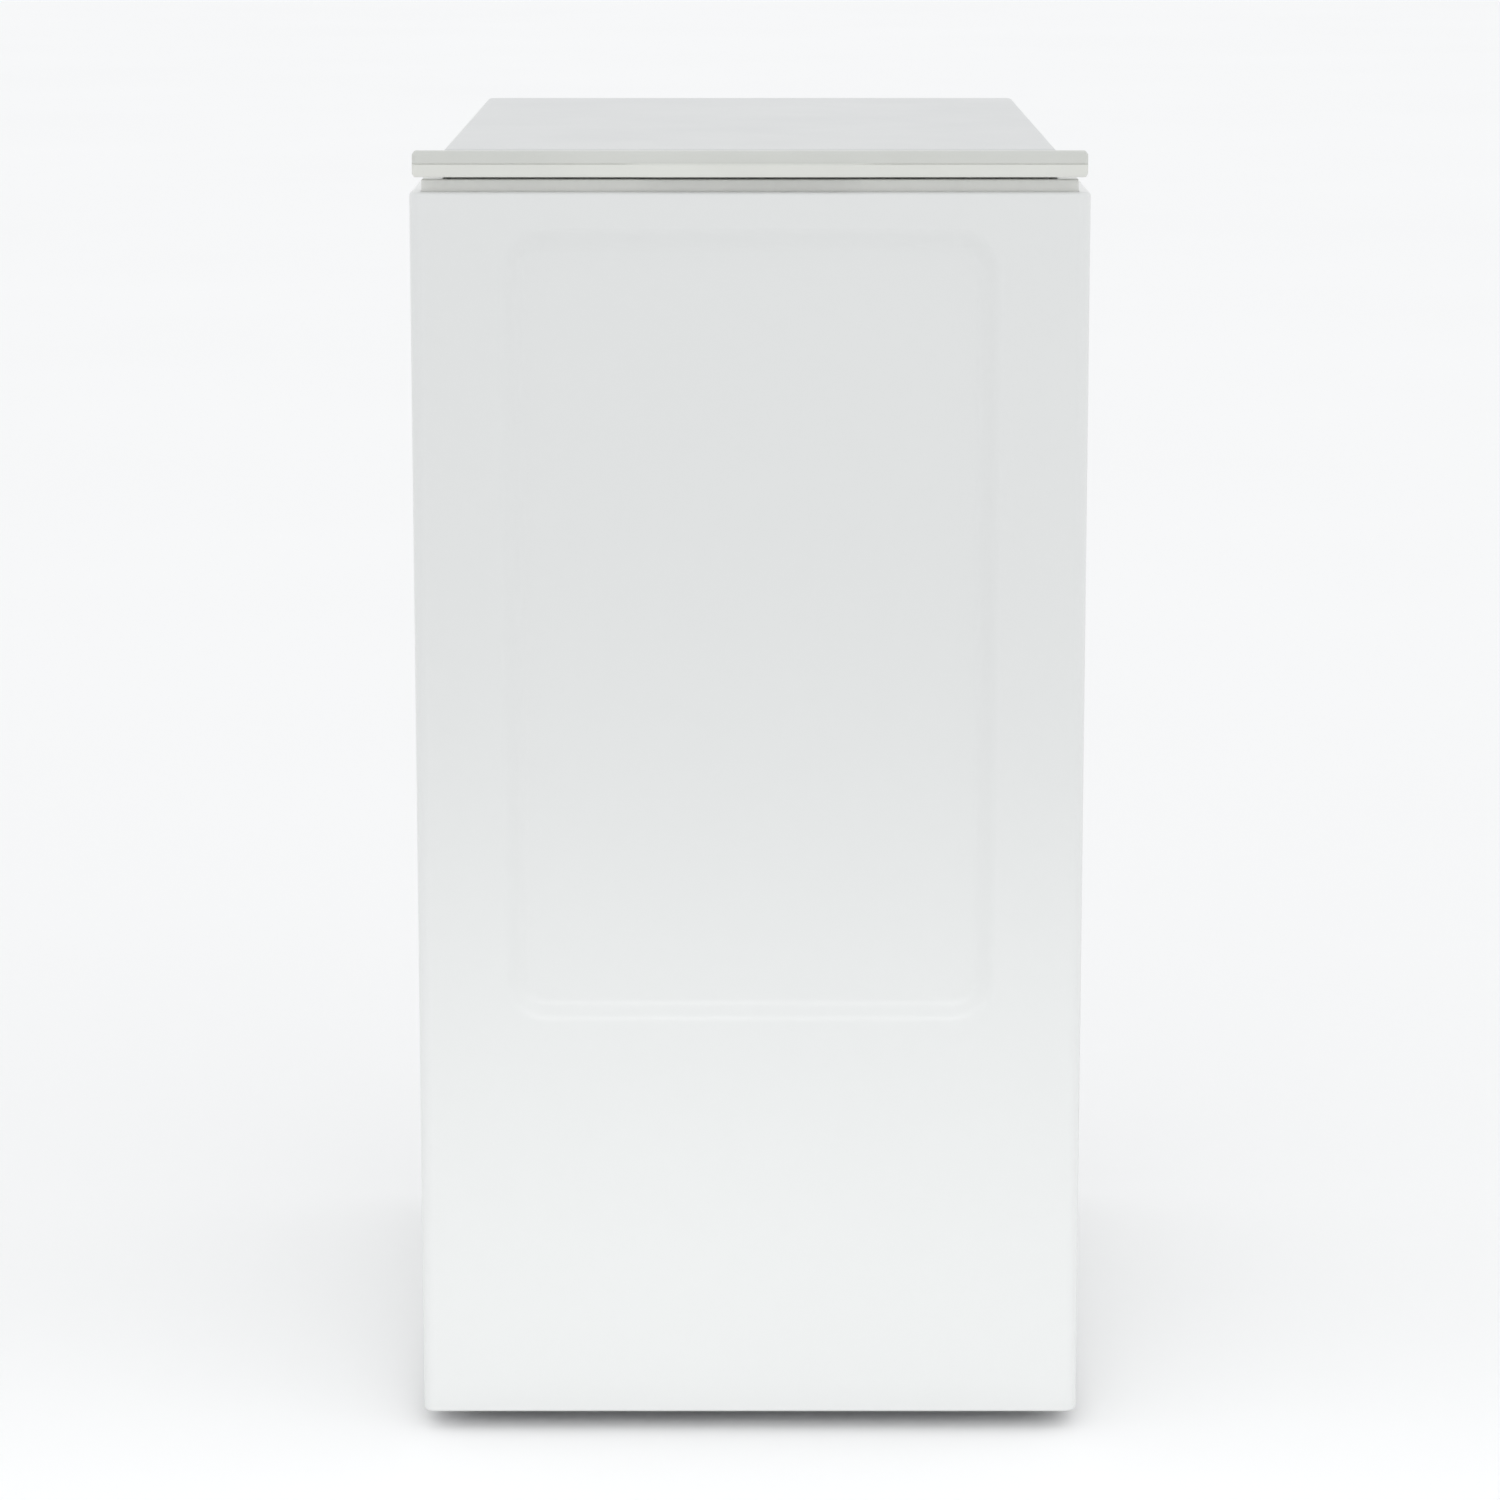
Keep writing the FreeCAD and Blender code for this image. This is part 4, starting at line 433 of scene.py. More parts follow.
def make_stainless():
    """Stainless steel, brushed along the drum's axis."""
    material, tree, shader, where = new_graph("stainless")
    brushed = noise(tree, where, 90.0, 4.0, (0.12, 4, 4))
    cloud = noise(tree, where, 9.0)
    base = blend(tree, remap(tree, cloud, 0, 1), (0.74, 0.74, 0.75), (0.62, 0.62, 0.64))
    tree.links.new(base, shader.inputs["Base Color"])
    shader.inputs["Metallic"].default_value = 1.0
    tree.links.new(remap(tree, brushed, 0.24, 0.4), shader.inputs["Roughness"])
    bump(tree, shader, brushed, 0.02)
    return material


def make_concrete():
    """Rough concrete with pale stones in a darker paste."""
    material, tree, shader, where = new_graph("concrete")
    stones = add_node(tree, "ShaderNodeTexVoronoi", {"Vector": where, "Scale": 160.0})
    cloud = noise(tree, where, 22.0, 5.0)
    paste = blend(tree, remap(tree, cloud, 0, 1), (0.40, 0.39, 0.37), (0.27, 0.265, 0.255))
    shade = remap(tree, stones.outputs["Distance"], 0.0, 0.35, 0.1, 0.9)
    tree.links.new(blend(tree, shade, paste, (0.5, 0.49, 0.46)), shader.inputs["Base Color"])
    shader.inputs["Roughness"].default_value = 0.92
    bump(tree, shader, noise(tree, where, 260.0, 6.0), 0.6)
    return material


def make_board():
    """Green lacquered circuit board with paler tracks."""
    material, tree, shader, where = new_graph("circuit_board")
    tracks = add_node(tree, "ShaderNodeTexBrick",
                      {"Vector": where, "Scale": 60.0, "Mortar Size": 0.06, "Color1": (0.02, 0.16, 0.06, 1),
                       "Color2": (0.03, 0.2, 0.08, 1), "Mortar": (0.10, 0.32, 0.12, 1)})
    tree.links.new(tracks.outputs[0], shader.inputs["Base Color"])
    shader.inputs["Roughness"].default_value = 0.3
    bump(tree, shader, tracks.outputs[1], 0.05)
    return material


def make_zinc():
    """Galvanised steel with its faint crystal patches."""
    material, tree, shader, where = new_graph("zinc_steel")
    patches = add_node(tree, "ShaderNodeTexVoronoi", {"Vector": where, "Scale": 120.0})
    grey = add_node(tree, "ShaderNodeSeparateColor", {"Color": patches.outputs["Color"]})
    tree.links.new(blend(tree, grey.outputs[0], (0.60, 0.61, 0.62), (0.50, 0.51, 0.53)),
                   shader.inputs["Base Color"])
    shader.inputs["Metallic"].default_value = 0.9
    tree.links.new(remap(tree, grey.outputs[1], 0.36, 0.5, 0, 1), shader.inputs["Roughness"])
    bump(tree, shader, noise(tree, where, 300.0), 0.02)
    return material


FINISHES = {name: finish(name, *row) for name, row in PLAIN_FINISHES.items()}
FINISHES["stainless"] = make_stainless()
FINISHES["concrete"] = make_concrete()
FINISHES["circuit_board"] = make_board()
FINISHES["zinc_steel"] = make_zinc()

for entry in frame["record"]["subparts"]:
    target = nodes[entry["node"]]
    for index in range(len(target.data.materials)):
        target.data.materials[index] = FINISHES[entry["material_slot"]]


# ---- front and side sheets

FIELD_BEVEL = 16.0
FIELD_CORNER = 30.0
EDGE_BAND = FIELD_BEVEL + FIELD_CORNER
FIELD_LEVELS = (289.0, 829.0)
FRONT_FIELD = (-167.0, 167.0)
FRONT_FIELD_DEPTH = 5.0
SIDE_FIELD = (-215.0, 205.0)
SIDE_FIELD_DEPTH = 4.0
FRONT_FINE = 1.6
SIDE_FINE = 2.4
COARSE = 22.0
FOLD = 2.5
SHEET = 1.0
LOW_RETURN = 8.0
HIGH_RETURN = 7.4
FRONT_CORNER = 9.0
FLANGE_REACH = 13.5
FLANGE_INSET = 3.2
NO_LIMIT = 99.0
CABINET_MIDDLE = (0, 0, 430)


def folded_levels(low, high, stations):
    """(inset, height) pairs up a sheet whose bottom and top edges are folded inwards."""
    bottom = [(inset, low + rise) for inset, rise in quarter(FOLD)]
    top = [(inset, low + high - z) for inset, z in reversed(bottom)]
    middle = [(0, z) for z in stations if low + FOLD < z < high - FOLD]
    return [(LOW_RETURN, low), *bottom, *middle, *top, (HIGH_RETURN, high)]


def edge_bands(limits):
    """Stretches beside both limits of a stamped field where its bevel and corners lie."""
    return [(limits[0], limits[0] + EDGE_BAND), (limits[1] - EDGE_BAND, limits[1])]


def stamped_sheet(node, path, fine, field, depth):
    """A folded sheet with one stamped field.

    path gives its plan as (x, y, normal x, normal y, distance along, most inset) and field gives
    the stamped field's limits along that path.
    """
    low, high = span(node)
    field_low, field_high = zip(field, FIELD_LEVELS)
    heights = graded(low.z, high.z, edge_bands(FIELD_LEVELS), fine, COARSE)
    rings = []
    for inset, z in folded_levels(low.z, high.z, heights):
        ring = []
        for x, y, normal_x, normal_y, along, most in path:
            step = min(inset, most)
            if inset == 0:
                inside_field = depth_inside(along, z, field_low, field_high, FIELD_CORNER)
                step += depth * smooth_step(inside_field / FIELD_BEVEL)
            ring.append((x + normal_x * step, y + normal_y * step, z))
        rings.append(ring)
    piece = build(f"{node}_sheet", [shell(rings, wrap=False)], FINISHES["white_enamel"])
    thicken(face_out(piece, CABINET_MIDDLE), SHEET)
    return settle(piece, "cabinet", "white_enamel", node)


def make_front_panel():
    """Front sheet: rounded corners, returned edges and one large stamped field."""
    low, high = span("front_panel")
    corner = FRONT_CORNER
    path = [(low.x, y, 1, 0, low.x, NO_LIMIT) for y in spread(high.y, low.y + corner, 4)[:-1]]
    for x, y in arc((low.x + corner, low.y + corner), corner, 180, 270, 8):
        normal = ((low.x + corner - x) / corner, (low.y + corner - y) / corner)
        path.append((x, y, *normal, low.x, NO_LIMIT))
    mirror = [(-x, y, -nx, ny, -along, most) for x, y, nx, ny, along, most in reversed(path)]
    stations = graded(low.x + corner, high.x - corner, edge_bands(FRONT_FIELD), FRONT_FINE, COARSE)
    path += [(x, low.y, 0, 1, x, NO_LIMIT) for x in stations[1:-1]] + mirror
    return stamped_sheet("front_panel", path, FRONT_FINE, FRONT_FIELD, FRONT_FIELD_DEPTH)


def make_side_panel(node, side):
    """Side sheet with a folded back flange and a shallow stamped field."""
    low, high = span(node)
    outer = max(abs(low.x), abs(high.x))
    path = [(outer, y, -1, 0, y, NO_LIMIT)
            for y in graded(low.y, high.y - FOLD, edge_bands(SIDE_FIELD), SIDE_FINE, COARSE)]
    centre = (outer - FOLD, high.y - FOLD)
    for x, y in arc(centre, FOLD, 0, 90, 5)[1:]:
        path.append((x, y, (centre[0] - x) / FOLD, (centre[1] - y) / FOLD, high.y, FLANGE_INSET))
    path.append((outer - FLANGE_REACH, high.y, 0, -1, high.y, FLANGE_INSET))
    path = [(x * side, y, nx * side, ny, along, most) for x, y, nx, ny, along, most in path]
    return stamped_sheet(node, path, SIDE_FINE, SIDE_FIELD, SIDE_FIELD_DEPTH)


# ---- the back

REAR_FACE = 283.8
HATCH_LOW = (-130.0, 170.0)
HATCH_HIGH = (118.0, 590.0)
HATCH_CORNER = 16.0
HATCH_PLATE = 1.5
HATCH_SECTION = [(0, 0), (0, 1.0), (0.4, 1.4), (1.0, 1.5), (14, 1.5), (16, 1.8), (19, 3.6), (21, 4.0),
                 (24, 4.0), (26, 3.6), (30, 2.0), (32, 1.8)]
HATCH_SCREW_INSET = 7.5
BEAD_SECTION = [(0, 1.6), (1.5, 2.3), (4, 3.3), (6.5, 3.7)]
BEAD_HALF = 72.0
BEAD_RADIUS = 8.0
SCREW_RADIUS = 4.0
VENT_CENTRE = 20.0
VENT_LEVELS = [640.0 + 16.0 * index for index in range(5)]
HOOD_HALF = 64.0
HOOD_RISE = 4.6
HOOD_WALL = 0.9
HOOD_LIP = 0.6
HOOD_DROP = 6.0
HOOD_TOP = 9.5


def screw_head(x, z, face):
    """A hexagon head with a flange, standing on a face that looks to the back."""
    across = SCREW_RADIUS * 0.68
    flange = [(SCREW_RADIUS, 0), (SCREW_RADIUS, 0.5), (SCREW_RADIUS * 0.94, 0.8), (across * 1.1, 0.95)]
    hexagon = [(across, 0.9), (across, 1.75), (across * 0.84, 2.0), (across * 0.6, 1.8)]
    return [lathe(flange, (x, face, z), "y", 24, ends=CAPPED),
            lathe(hexagon, (x, face, z), "y", 6, ends=CAPPED)]


def on_back(section):
    """A section's levels, counted from the back sheet."""
    return [(inset, REAR_FACE + rise) for inset, rise in section]


def make_rear_hatch():
    """Stamped service hatch on the back sheet, with a raised rim, beads and its screws."""
    surfaces = [block(HATCH_LOW, HATCH_HIGH, HATCH_CORNER, on_back(HATCH_SECTION), 8, backwards=True)]
    middle = (HATCH_LOW[0] + HATCH_HIGH[0]) / 2
    for z in spread(HATCH_LOW[1] + 70, HATCH_HIGH[1] - 70, 46):
        surfaces.append(block((middle - BEAD_HALF, z - BEAD_RADIUS), (middle + BEAD_HALF, z + BEAD_RADIUS),
                              BEAD_RADIUS, on_back(BEAD_SECTION), 6, backwards=True))
    closed_piece("rear_service_hatch", surfaces, "cabinet", "rear_enamel")
    screws = []
    for x in (HATCH_LOW[0] + HATCH_SCREW_INSET, HATCH_HIGH[0] - HATCH_SCREW_INSET):
        for z in spread(HATCH_LOW[1] + 24, HATCH_HIGH[1] - 24, 190):
            screws += screw_head(x, z, REAR_FACE + HATCH_PLATE)
    return closed_piece("rear_hatch_screws", screws, "cabinet", "zinc_steel", angle=32)


def make_vent_hoods():
    """Pressed hoods over the vents, open below."""
    surfaces = []
    for level in VENT_LEVELS:
        rings = []
        for x in spread(-HOOD_HALF, HOOD_HALF, 2.0):
            swell = math.sqrt(max(0.0, 1 - (abs(x) / HOOD_HALF) ** 8))
            outer = []
            for step in range(8):
                turn = math.radians(90 * step / 7)
                outer.append((VENT_CENTRE + x, REAR_FACE + 0.1 + HOOD_RISE * swell * math.sin(turn),
                              level + HOOD_TOP - HOOD_DROP * (1 - math.cos(turn))))
            inner = [(across, max(REAR_FACE, back - HOOD_WALL * swell), up - HOOD_LIP)
                     for across, back, up in reversed(outer)]
            rings.append(outer + inner)
        surfaces.append(shell(rings, ends=CAPPED))
    return closed_piece("vent_hoods", surfaces, "cabinet", "rear_enamel", angle=45)


def make_panel_screws():
    """Hexagon flange screws down both back flanges."""
    low, high = span("panel_screws")
    surfaces = []
    for x in (low.x + SCREW_RADIUS, high.x - SCREW_RADIUS):
        for z in spread(low.z + SCREW_RADIUS, high.z - SCREW_RADIUS, 181):
            surfaces += screw_head(x, z, low.y)
    return closed_piece("panel_screw_heads", surfaces, "cabinet", "zinc_steel", "panel_screws", angle=32)


make_front_panel()
make_side_panel("left_side_panel", -1)
make_side_panel("right_side_panel", 1)
make_rear_hatch()
make_vent_hoods()
make_panel_screws()


# ---- feet

GRIPS = 24
GRIP_BAND = (1.5, 4.6)
THREAD_PITCH = 1.25
STUD_RADIUS = 4.0


def make_foot(corner):
    """Levelling foot: a ribbed rubber pad round a threaded stud with a hexagon collar."""
    node = f"foot_{corner}"
    low, high = span(node)
    centre = upright_axis(low, high)
    radius = (high.x - low.x) / 2
    pad = [(radius * 0.55, 0.9), (radius * 0.62, 0), (radius - 1.2, 0), (radius - 0.3, 0.5),
           (radius, GRIP_BAND[0]), (radius, GRIP_BAND[1]), (radius - 0.6, 6.0), (radius - 2.4, 6.9),
           (radius - 5, 7.0), (6.6, 7.0)]

    def grip(turn, level):
        return 1 - 0.012 * (math.cos(GRIPS * turn) > 0) * (GRIP_BAND[0] <= level <= GRIP_BAND[1])

    def groove(turn, level):
        return 1 - 0.045 * (1 + math.cos(turn - FULL_TURN * level / THREAD_PITCH))

    collar = [(6.2, 6.9), (6.2, 8.4), (5.7, 8.7), (4.2, 8.7)]
    thread = [(STUD_RADIUS, z) for z in spread(8.6, high.z - 0.8, THREAD_PITCH / 5)] + [(3.2, high.z)]
    surfaces = [lathe(pad, centre, "z", 96, grip, CAPPED), lathe(collar, centre, "z", 6, None, CAPPED, 1),
                lathe(thread, centre, "z", 20, groove, CAPPED, 1)]
    return closed_piece(f"{node}_tread", surfaces, node, "black_rubber", node, angle=38,
                        other=["zinc_steel"])


for corner in ("front_left", "front_right", "rear_left", "rear_right"):
    make_foot(corner)


# ---- lid

LID_SKIN = 1.2
LID_CROWN = 0.7
LID_CORNER = 7.0
LID_EDGE = 3.0
HINGE_X = 172.0
NOTCH_HALF = 17.5
GRIP_HALF = 65.0
GRIP_RUN = 10.0
LIP_TOP = 870.5
NOSE_END_ROUND = 2.0
NECK_LOW = (-136.0, -175.0)
NECK_HIGH = (124.0, 115.0)
NECK_CORNER = 30.0


def make_lid_plate():
    """Lid plate: a hollow pressing with a rolled edge and a slight crown, notched at its hinges."""
    low, high = span("lid_shell")
    rim = high.z - LID_CROWN
    ceiling = rim - LID_SKIN
    rolled = [(inset, rim - rise) for inset, rise in reversed(quarter(LID_EDGE, 6))]
    levels = [(LID_SKIN + 2.2, ceiling - 0.3), (LID_SKIN, ceiling - 2.0), (LID_SKIN, low.z + 0.3),
              (LID_SKIN / 2, low.z), (0, low.z + 0.3), *rolled]
    notches = [side * HINGE_X + reach * NOTCH_HALF + step
               for side in (-1, 1) for reach in (-1, 1) for step in (-0.01, 0.01)]

    def outline(inset):
        points = rounded_outline((low.x + inset, low.y + inset), (high.x - inset, high.y - inset),
                                 LID_CORNER - inset)
        back = len(points) // 2
        extra = [(x, high.y - inset) for x in sorted(notches, reverse=True)]
        return points[:back] + extra + points[back:]

    def height(x, y, z):
        by_hinge = any(abs(x - side * HINGE_X) < NOTCH_HALF for side in (-1, 1))
        return max(z, ceiling - 2.0) if by_hinge and y > high.y - LID_EDGE else z

    rings = [[(x, y, height(x, y, z)) for x, y in outline(inset)] for inset, z in levels]
    outer = rings[-1]
    middle = upright_axis(low, high)
    for keep in (0.97, 0.92, 0.82, 0.68, 0.5, 0.3, 0.1):
        rings.append([(middle[0] + (x - middle[0]) * keep, middle[1] + (y - middle[1]) * keep,
                       z + LID_CROWN * (1 - keep * keep)) for x, y, z in outer])
    # The lid takes the darker enamel, painted shade on its top.
    return closed_piece("lid_plate", [shell(rings, ends=CAPPED)], "lid", "lid_enamel", "lid_shell",
                        angle=50)


def nose_profile(low, high, x):
    """Section of the lid's front bar at one place: its points and how many lie above the lip."""
    grip = smooth_step((GRIP_HALF + GRIP_RUN / 2 - abs(x)) / GRIP_RUN)
    swell = 0.35 + 0.65 * smooth_step((95 - abs(x)) / 40)
    face = low.y + 1.6 * (1 - swell)
    band = low.y + 2.4
    roof = low.z + 0.4 + 8.4 * grip
    upper = [(high.y, high.z - 0.3)] + arc((band + 2.6, high.z - 2.6), 2.6, 90, 180, 6)
    lower = [(band, LIP_TOP + 1.2), (band - 0.3, LIP_TOP + 0.45)]
    lower += arc((face + 1.4, LIP_TOP - 1.4), 1.4, 80, 180, 6)
    lower += [(face, (LIP_TOP + low.z) / 2)] + arc((face + 0.9, low.z + 0.9), 0.9, 180, 270, 4)
    lower += [(low.y + 2.6, low.z), (low.y + 2.9, low.z + 0.2), (low.y + 2.9, roof - grip),
              (low.y + 3.9, roof), (high.y - 6.5, roof), (high.y - 5.6, roof - grip),
              (high.y - 5.6, low.z + 0.2), (high.y - 5.2, low.z), (high.y, low.z)]
    return upper + lower, len(upper)


def make_lid_nose():
    """Front bar of the lid: a dull upper band over a lip, with the finger grip hollowed below; the faces
    below the band get a lighter copy of the band's plastic, a painted highlight.
    """
    low, high = span("lid_front_handle")
    fine = [(-90, -45), (45, 90), (low.x, low.x + 6), (high.x - 6, high.x)]
    half_height = (high.z - low.z) / 2
    middle = ((low.y + high.y) / 2, (low.z + high.z) / 2)
    rings = []
    for x in graded(low.x, high.x, fine, 1.5, 12):
        section, marks = nose_profile(low, high, x)
        from_end = min(abs(x - low.x), abs(high.x - x), NOSE_END_ROUND) / NOSE_END_ROUND
        pull = NOSE_END_ROUND * (1 - math.sqrt(max(0.0, 1 - (1 - from_end) ** 2)))
        keep = 1 - pull / half_height
        rings.append([(x, middle[0] + (y - middle[0]) * keep, middle[1] + (z - middle[1]) * keep)
                      for y, z in section])
    # Faces below the upper band take the lighter lip finish, a painted highlight.
    slots = [0] * (marks + 1) + [1] * (len(section) - marks - 1)
    return closed_piece("lid_nose_bar", [shell(rings, ends=CAPPED, slots=slots)], "lid", "nose_plastic",
                        "lid_front_handle", other=["nose_lip_painted_highlight"])


def make_lid_liner():
    """Moulded inner skin: low and dished over the loading mouth, high over the controls."""
    low, high = span("lid_inner_panel")
    step_y, rear_z, wall = 128.0, 868.0, 1.6
    folds = [(0, 19.0), (0, 3.0), (0.3, 1.6), (0.9, 0.7), (2.0, 0.1), (3.2, 0)]
    dish_low = (NECK_LOW[0] + 6, NECK_LOW[1] + 6)
    dish_high = (NECK_HIGH[0] - 6, NECK_HIGH[1] - 6)
    dish_depth, dish_run, dish_corner = 5.0, 10.0, 22.0
    bead_depth, bead_half = 1.2, 4.0
    bead_x = (-170.0, 162.0)
    bead_y = (-230.0, 90.0)

    def base(x, y):
        inside_dish = depth_inside(x, y, dish_low, dish_high, dish_corner)
        rise = dish_depth * smooth_step(inside_dish / dish_run)
        for line in bead_x:
            if bead_y[0] < y < bead_y[1]:
                rise += bead_depth * smooth_step(1 - abs(x - line) / bead_half)
        return low.z + rise + (rear_z - low.z) * smooth_step((y - step_y + 7) / 7)

    def stations(first, last, bands):
        values = graded(first + folds[-1][0], last - folds[-1][0], bands, 2.0, 16.0)
        start = [(first + inset, lift) for inset, lift in folds[:-1]]
        end = [(last - inset, lift) for inset, lift in reversed(folds[:-1])]
        return start + [(value, 0.0) for value in values] + end

    bands_x = [(dish_low[0], dish_low[0] + 24), (dish_high[0] - 24, dish_high[0]),
               *[(line - bead_half, line + bead_half) for line in bead_x]]
    bands_y = [(dish_low[1], dish_low[1] + 24), (dish_high[1] - 24, dish_high[1]), (step_y - 8, step_y),
               *[(line - 1, line + 1) for line in bead_y]]
    rows = [[(x, y, min(base(x, y) + max(lift_x, lift_y), high.z))
             for x, lift_x in stations(low.x, high.x, bands_x)]
            for y, lift_y in stations(low.y, high.y, bands_y)]
    piece = build("lid_liner", [shell(rows, wrap=False)], FINISHES["frame_plastic"])
    if sum(face.normal.z * face.area for face in piece.data.polygons) > 0:
        piece.data.flip_normals()
    return settle(thicken(piece, wall), "lid", "frame_plastic", "lid_inner_panel")


def around_neck(margin, z):
    """Ring that follows the loading mouth, a margin outside it."""
    outline = rounded_outline((NECK_LOW[0] - margin, NECK_LOW[1] - margin),
                              (NECK_HIGH[0] + margin, NECK_HIGH[1] + margin), NECK_CORNER + margin, 8)
    return [(x, y, z) for x, y in outline]


def make_lid_seal():
    """Rubber seal: a foot in the liner and a hollow lip that bears on the deck."""
    low, high = span("lid_seal")
    middle, foot, bulb, drop = 8.0, 4.3, 2.9, 1.7
    section = [(-foot, high.z - 0.1), (-foot, high.z - 0.8), (-bulb - 0.4, high.z - 1.3)]
    section += [(bulb * math.cos(turn), low.z + drop - drop * math.sin(turn))
                for turn in (math.radians(180 - 20 * step) for step in range(10))]
    section += [(bulb + 0.4, high.z - 1.3), (foot, high.z - 0.8), (foot, high.z - 0.1)]
    rings = [around_neck(middle + side, z) for side, z in section]
    return closed_piece("lid_seal_lip", [shell(rings, closed=True)], "lid", "grey_rubber", "lid_seal",
                        angle=50)


def make_bellows():
    """Soft neck between tub and deck, folded in pleats."""
    low, high = span("door_bellows")
    wall, cuff = 2.2, 4.3
    first, last = low.z + 12, low.z + 78
    pleats, bulge = 4, 3.2
    rib_pitch, rib_depth = 9.0, 0.5
    outer = []
    inner = []
    for z in spread(low.z, high.z, 1.6):
        fold = bulge * (1 - math.cos(FULL_TURN * pleats * (z - first) / (last - first)))
        swell = fold if first < z < last else 0.0
        rib = rib_depth * math.cos(FULL_TURN * (z - last) / rib_pitch) if z >= last else 0.0
        outer.append((cuff + swell, z))
        inner.append((cuff - wall + swell + rib, z))
    rings = [around_neck(margin, z) for margin, z in outer + inner[::-1]]
    piece = build("bellows_pleats", [shell(rings, closed=True)], FINISHES["grey_rubber"])
    sharpen(tidy_normals(piece), 60)
    return settle_soft(piece, "door_bellows")


make_lid_plate()
make_lid_nose()
make_lid_liner()
make_lid_seal()
make_bellows()


# ---- controls

DIAL = (95.0, 228.0)
DIAL_RADIUS = 22.0
DIAL_LOW = 852.6
DIAL_TOP = 865.0
KNURLS = 48
POINTER_HALF = 0.9
BUTTON_RADIUS = 8.0
FASCIA_TOP = 852.0
PRINT_LEVEL = 852.06
DIAL_NUMBERS = 12
NUMBER_HEIGHT = 5.0
NUMBER_RING = (26.6, 25.6)
BUTTON_RING = (10.6, 11.2)
RULE_X = (-40.0, 52.0)
RULE_Y = (217.6, 218.2)


def make_dial():
    """Knurled programme dial with a dished top and a pointer line."""
    low, high = span("programme_dial")
    radius, bottom, top = DIAL_RADIUS, DIAL_LOW, DIAL_TOP
    profile = [(3.0, low.z), (3.0, bottom), (radius - 0.4, bottom), (radius, bottom + 0.5),
               (radius, bottom + 1.6), (radius - 1.0, bottom + 2.2), (radius - 1.2, bottom + 2.8),
               (radius - 1.8, top - 2.6), (radius - 2.3, top - 0.9), (radius - 3.1, top),
               (radius - 5.0, top - 0.1), (radius - 6.4, top - 0.9), (8.0, top - 1.4), (2.0, top - 1.5)]

    def knurl(turn, level):
        rough = bottom + 2.5 < level < top - 0.5
        return 1 - 0.022 * (1 + math.cos(KNURLS * turn)) / 2 if rough else 1

    cap = lathe(profile, (*DIAL, 0), "z", KNURLS * 6, knurl, CAPPED)
    pointer_levels = [(0, top - 1.8), (0, high.z - 0.6), (0.35, high.z - 0.25)]
    pointer = block((DIAL[0] - POINTER_HALF, DIAL[1] - radius + 3.6), (DIAL[0] + POINTER_HALF, DIAL[1] - 8),
                    POINTER_HALF * 0.9, pointer_levels, 4, slot=1)
    return closed_piece("dial_cap", [cap, pointer], "programme_dial", "dial_plastic", "programme_dial",
                        angle=34, other=["print_ink"])


def make_button(node):
    """Push button with a rolled rim, a dished top and a printed ring."""
    low, high = span(node)
    radius, top = BUTTON_RADIUS, high.z
    profile = [(radius + 1.5, low.z), (radius + 1.5, low.z + 1.5), (radius, low.z + 1.6),
               (radius, top - 1.2), (radius - 0.35, top - 0.35), (radius - 1.2, top),
               (radius - 2.0, top - 0.05), (radius - 3.2, top - 0.55), (2.0, top - 0.8)]
    ring = [(3.1, top - 0.78), (3.1, top - 0.62), (2.3, top - 0.62), (2.3, top - 0.78)]
    centre = upright_axis(low, high)
    surfaces = [lathe(profile, centre, "z", 72, ends=CAPPED), lathe(ring, centre, "z", 48, slot=1)]
    piece = build(f"{node}_cap", surfaces, FINISHES["dial_plastic"], FINISHES["print_ink"])
    return settle(sharpen(piece, 34), node, "dial_plastic", node)


def number_surface(text, place):
    """A printed number lying on the fascia, centred on a place."""
    data = bpy.data.curves.new("number", "FONT")
    data.body = text
    data.size = NUMBER_HEIGHT
    data.align_x = "CENTER"
    data.align_y = "CENTER"
    data.resolution_u = 4
    points, faces = curve_shape(data)
    return [(place[0] + point.x, place[1] + point.y, place[2]) for point in points], faces, [0] * len(faces)


def make_fascia_marks():
    """Generic printing: numbers round the dial, a ring at each button and a rule between them."""
    surfaces = []
    for index in range(DIAL_NUMBERS):
        turn = FULL_TURN * index / DIAL_NUMBERS - FULL_TURN / 4
        place = (DIAL[0] + NUMBER_RING[0] * math.cos(turn), DIAL[1] + NUMBER_RING[1] * math.sin(turn),
                 PRINT_LEVEL)
        surfaces.append(number_surface(str(index + 1), place))
    for node in ("start_button", "option_button"):
        ring = [(radius, PRINT_LEVEL) for radius in BUTTON_RING]
        surfaces.append(lathe(ring, upright_axis(*span(node)), "z"))
    rule = [[(x, y, PRINT_LEVEL) for x in RULE_X] for y in RULE_Y]
    surfaces.append(shell(rule, wrap=False))
    piece = build("fascia_printing", surfaces, FINISHES["print_ink"])
    for polygon in piece.data.polygons:
        if polygon.normal.z < 0:
            polygon.flip()
    return settle(piece, "cabinet", "fascia_plastic")


def make_lamps():
    """Row of small progress lamps in their bezels."""
    bezel = [(3.4, 0), (3.4, 0.4), (3.0, 0.6), (2.3, 0.4), (2.2, 0)]
    lens = [(2.2, 0.1), (2.1, 0.5), (1.6, 0.9), (0.7, 1.1)]
    surfaces = []
    for x in spread(-30, 42, 18):
        centre = (x, DIAL[1], FASCIA_TOP)
        surfaces.append(lathe(bezel, centre, "z", 32))
        surfaces.append(lathe(lens, centre, "z", 24, ends=CAPPED, slot=1))
    return closed_piece("progress_lamps", surfaces, "cabinet", "dial_plastic", angle=50,
                        other=["lamp_lens"])


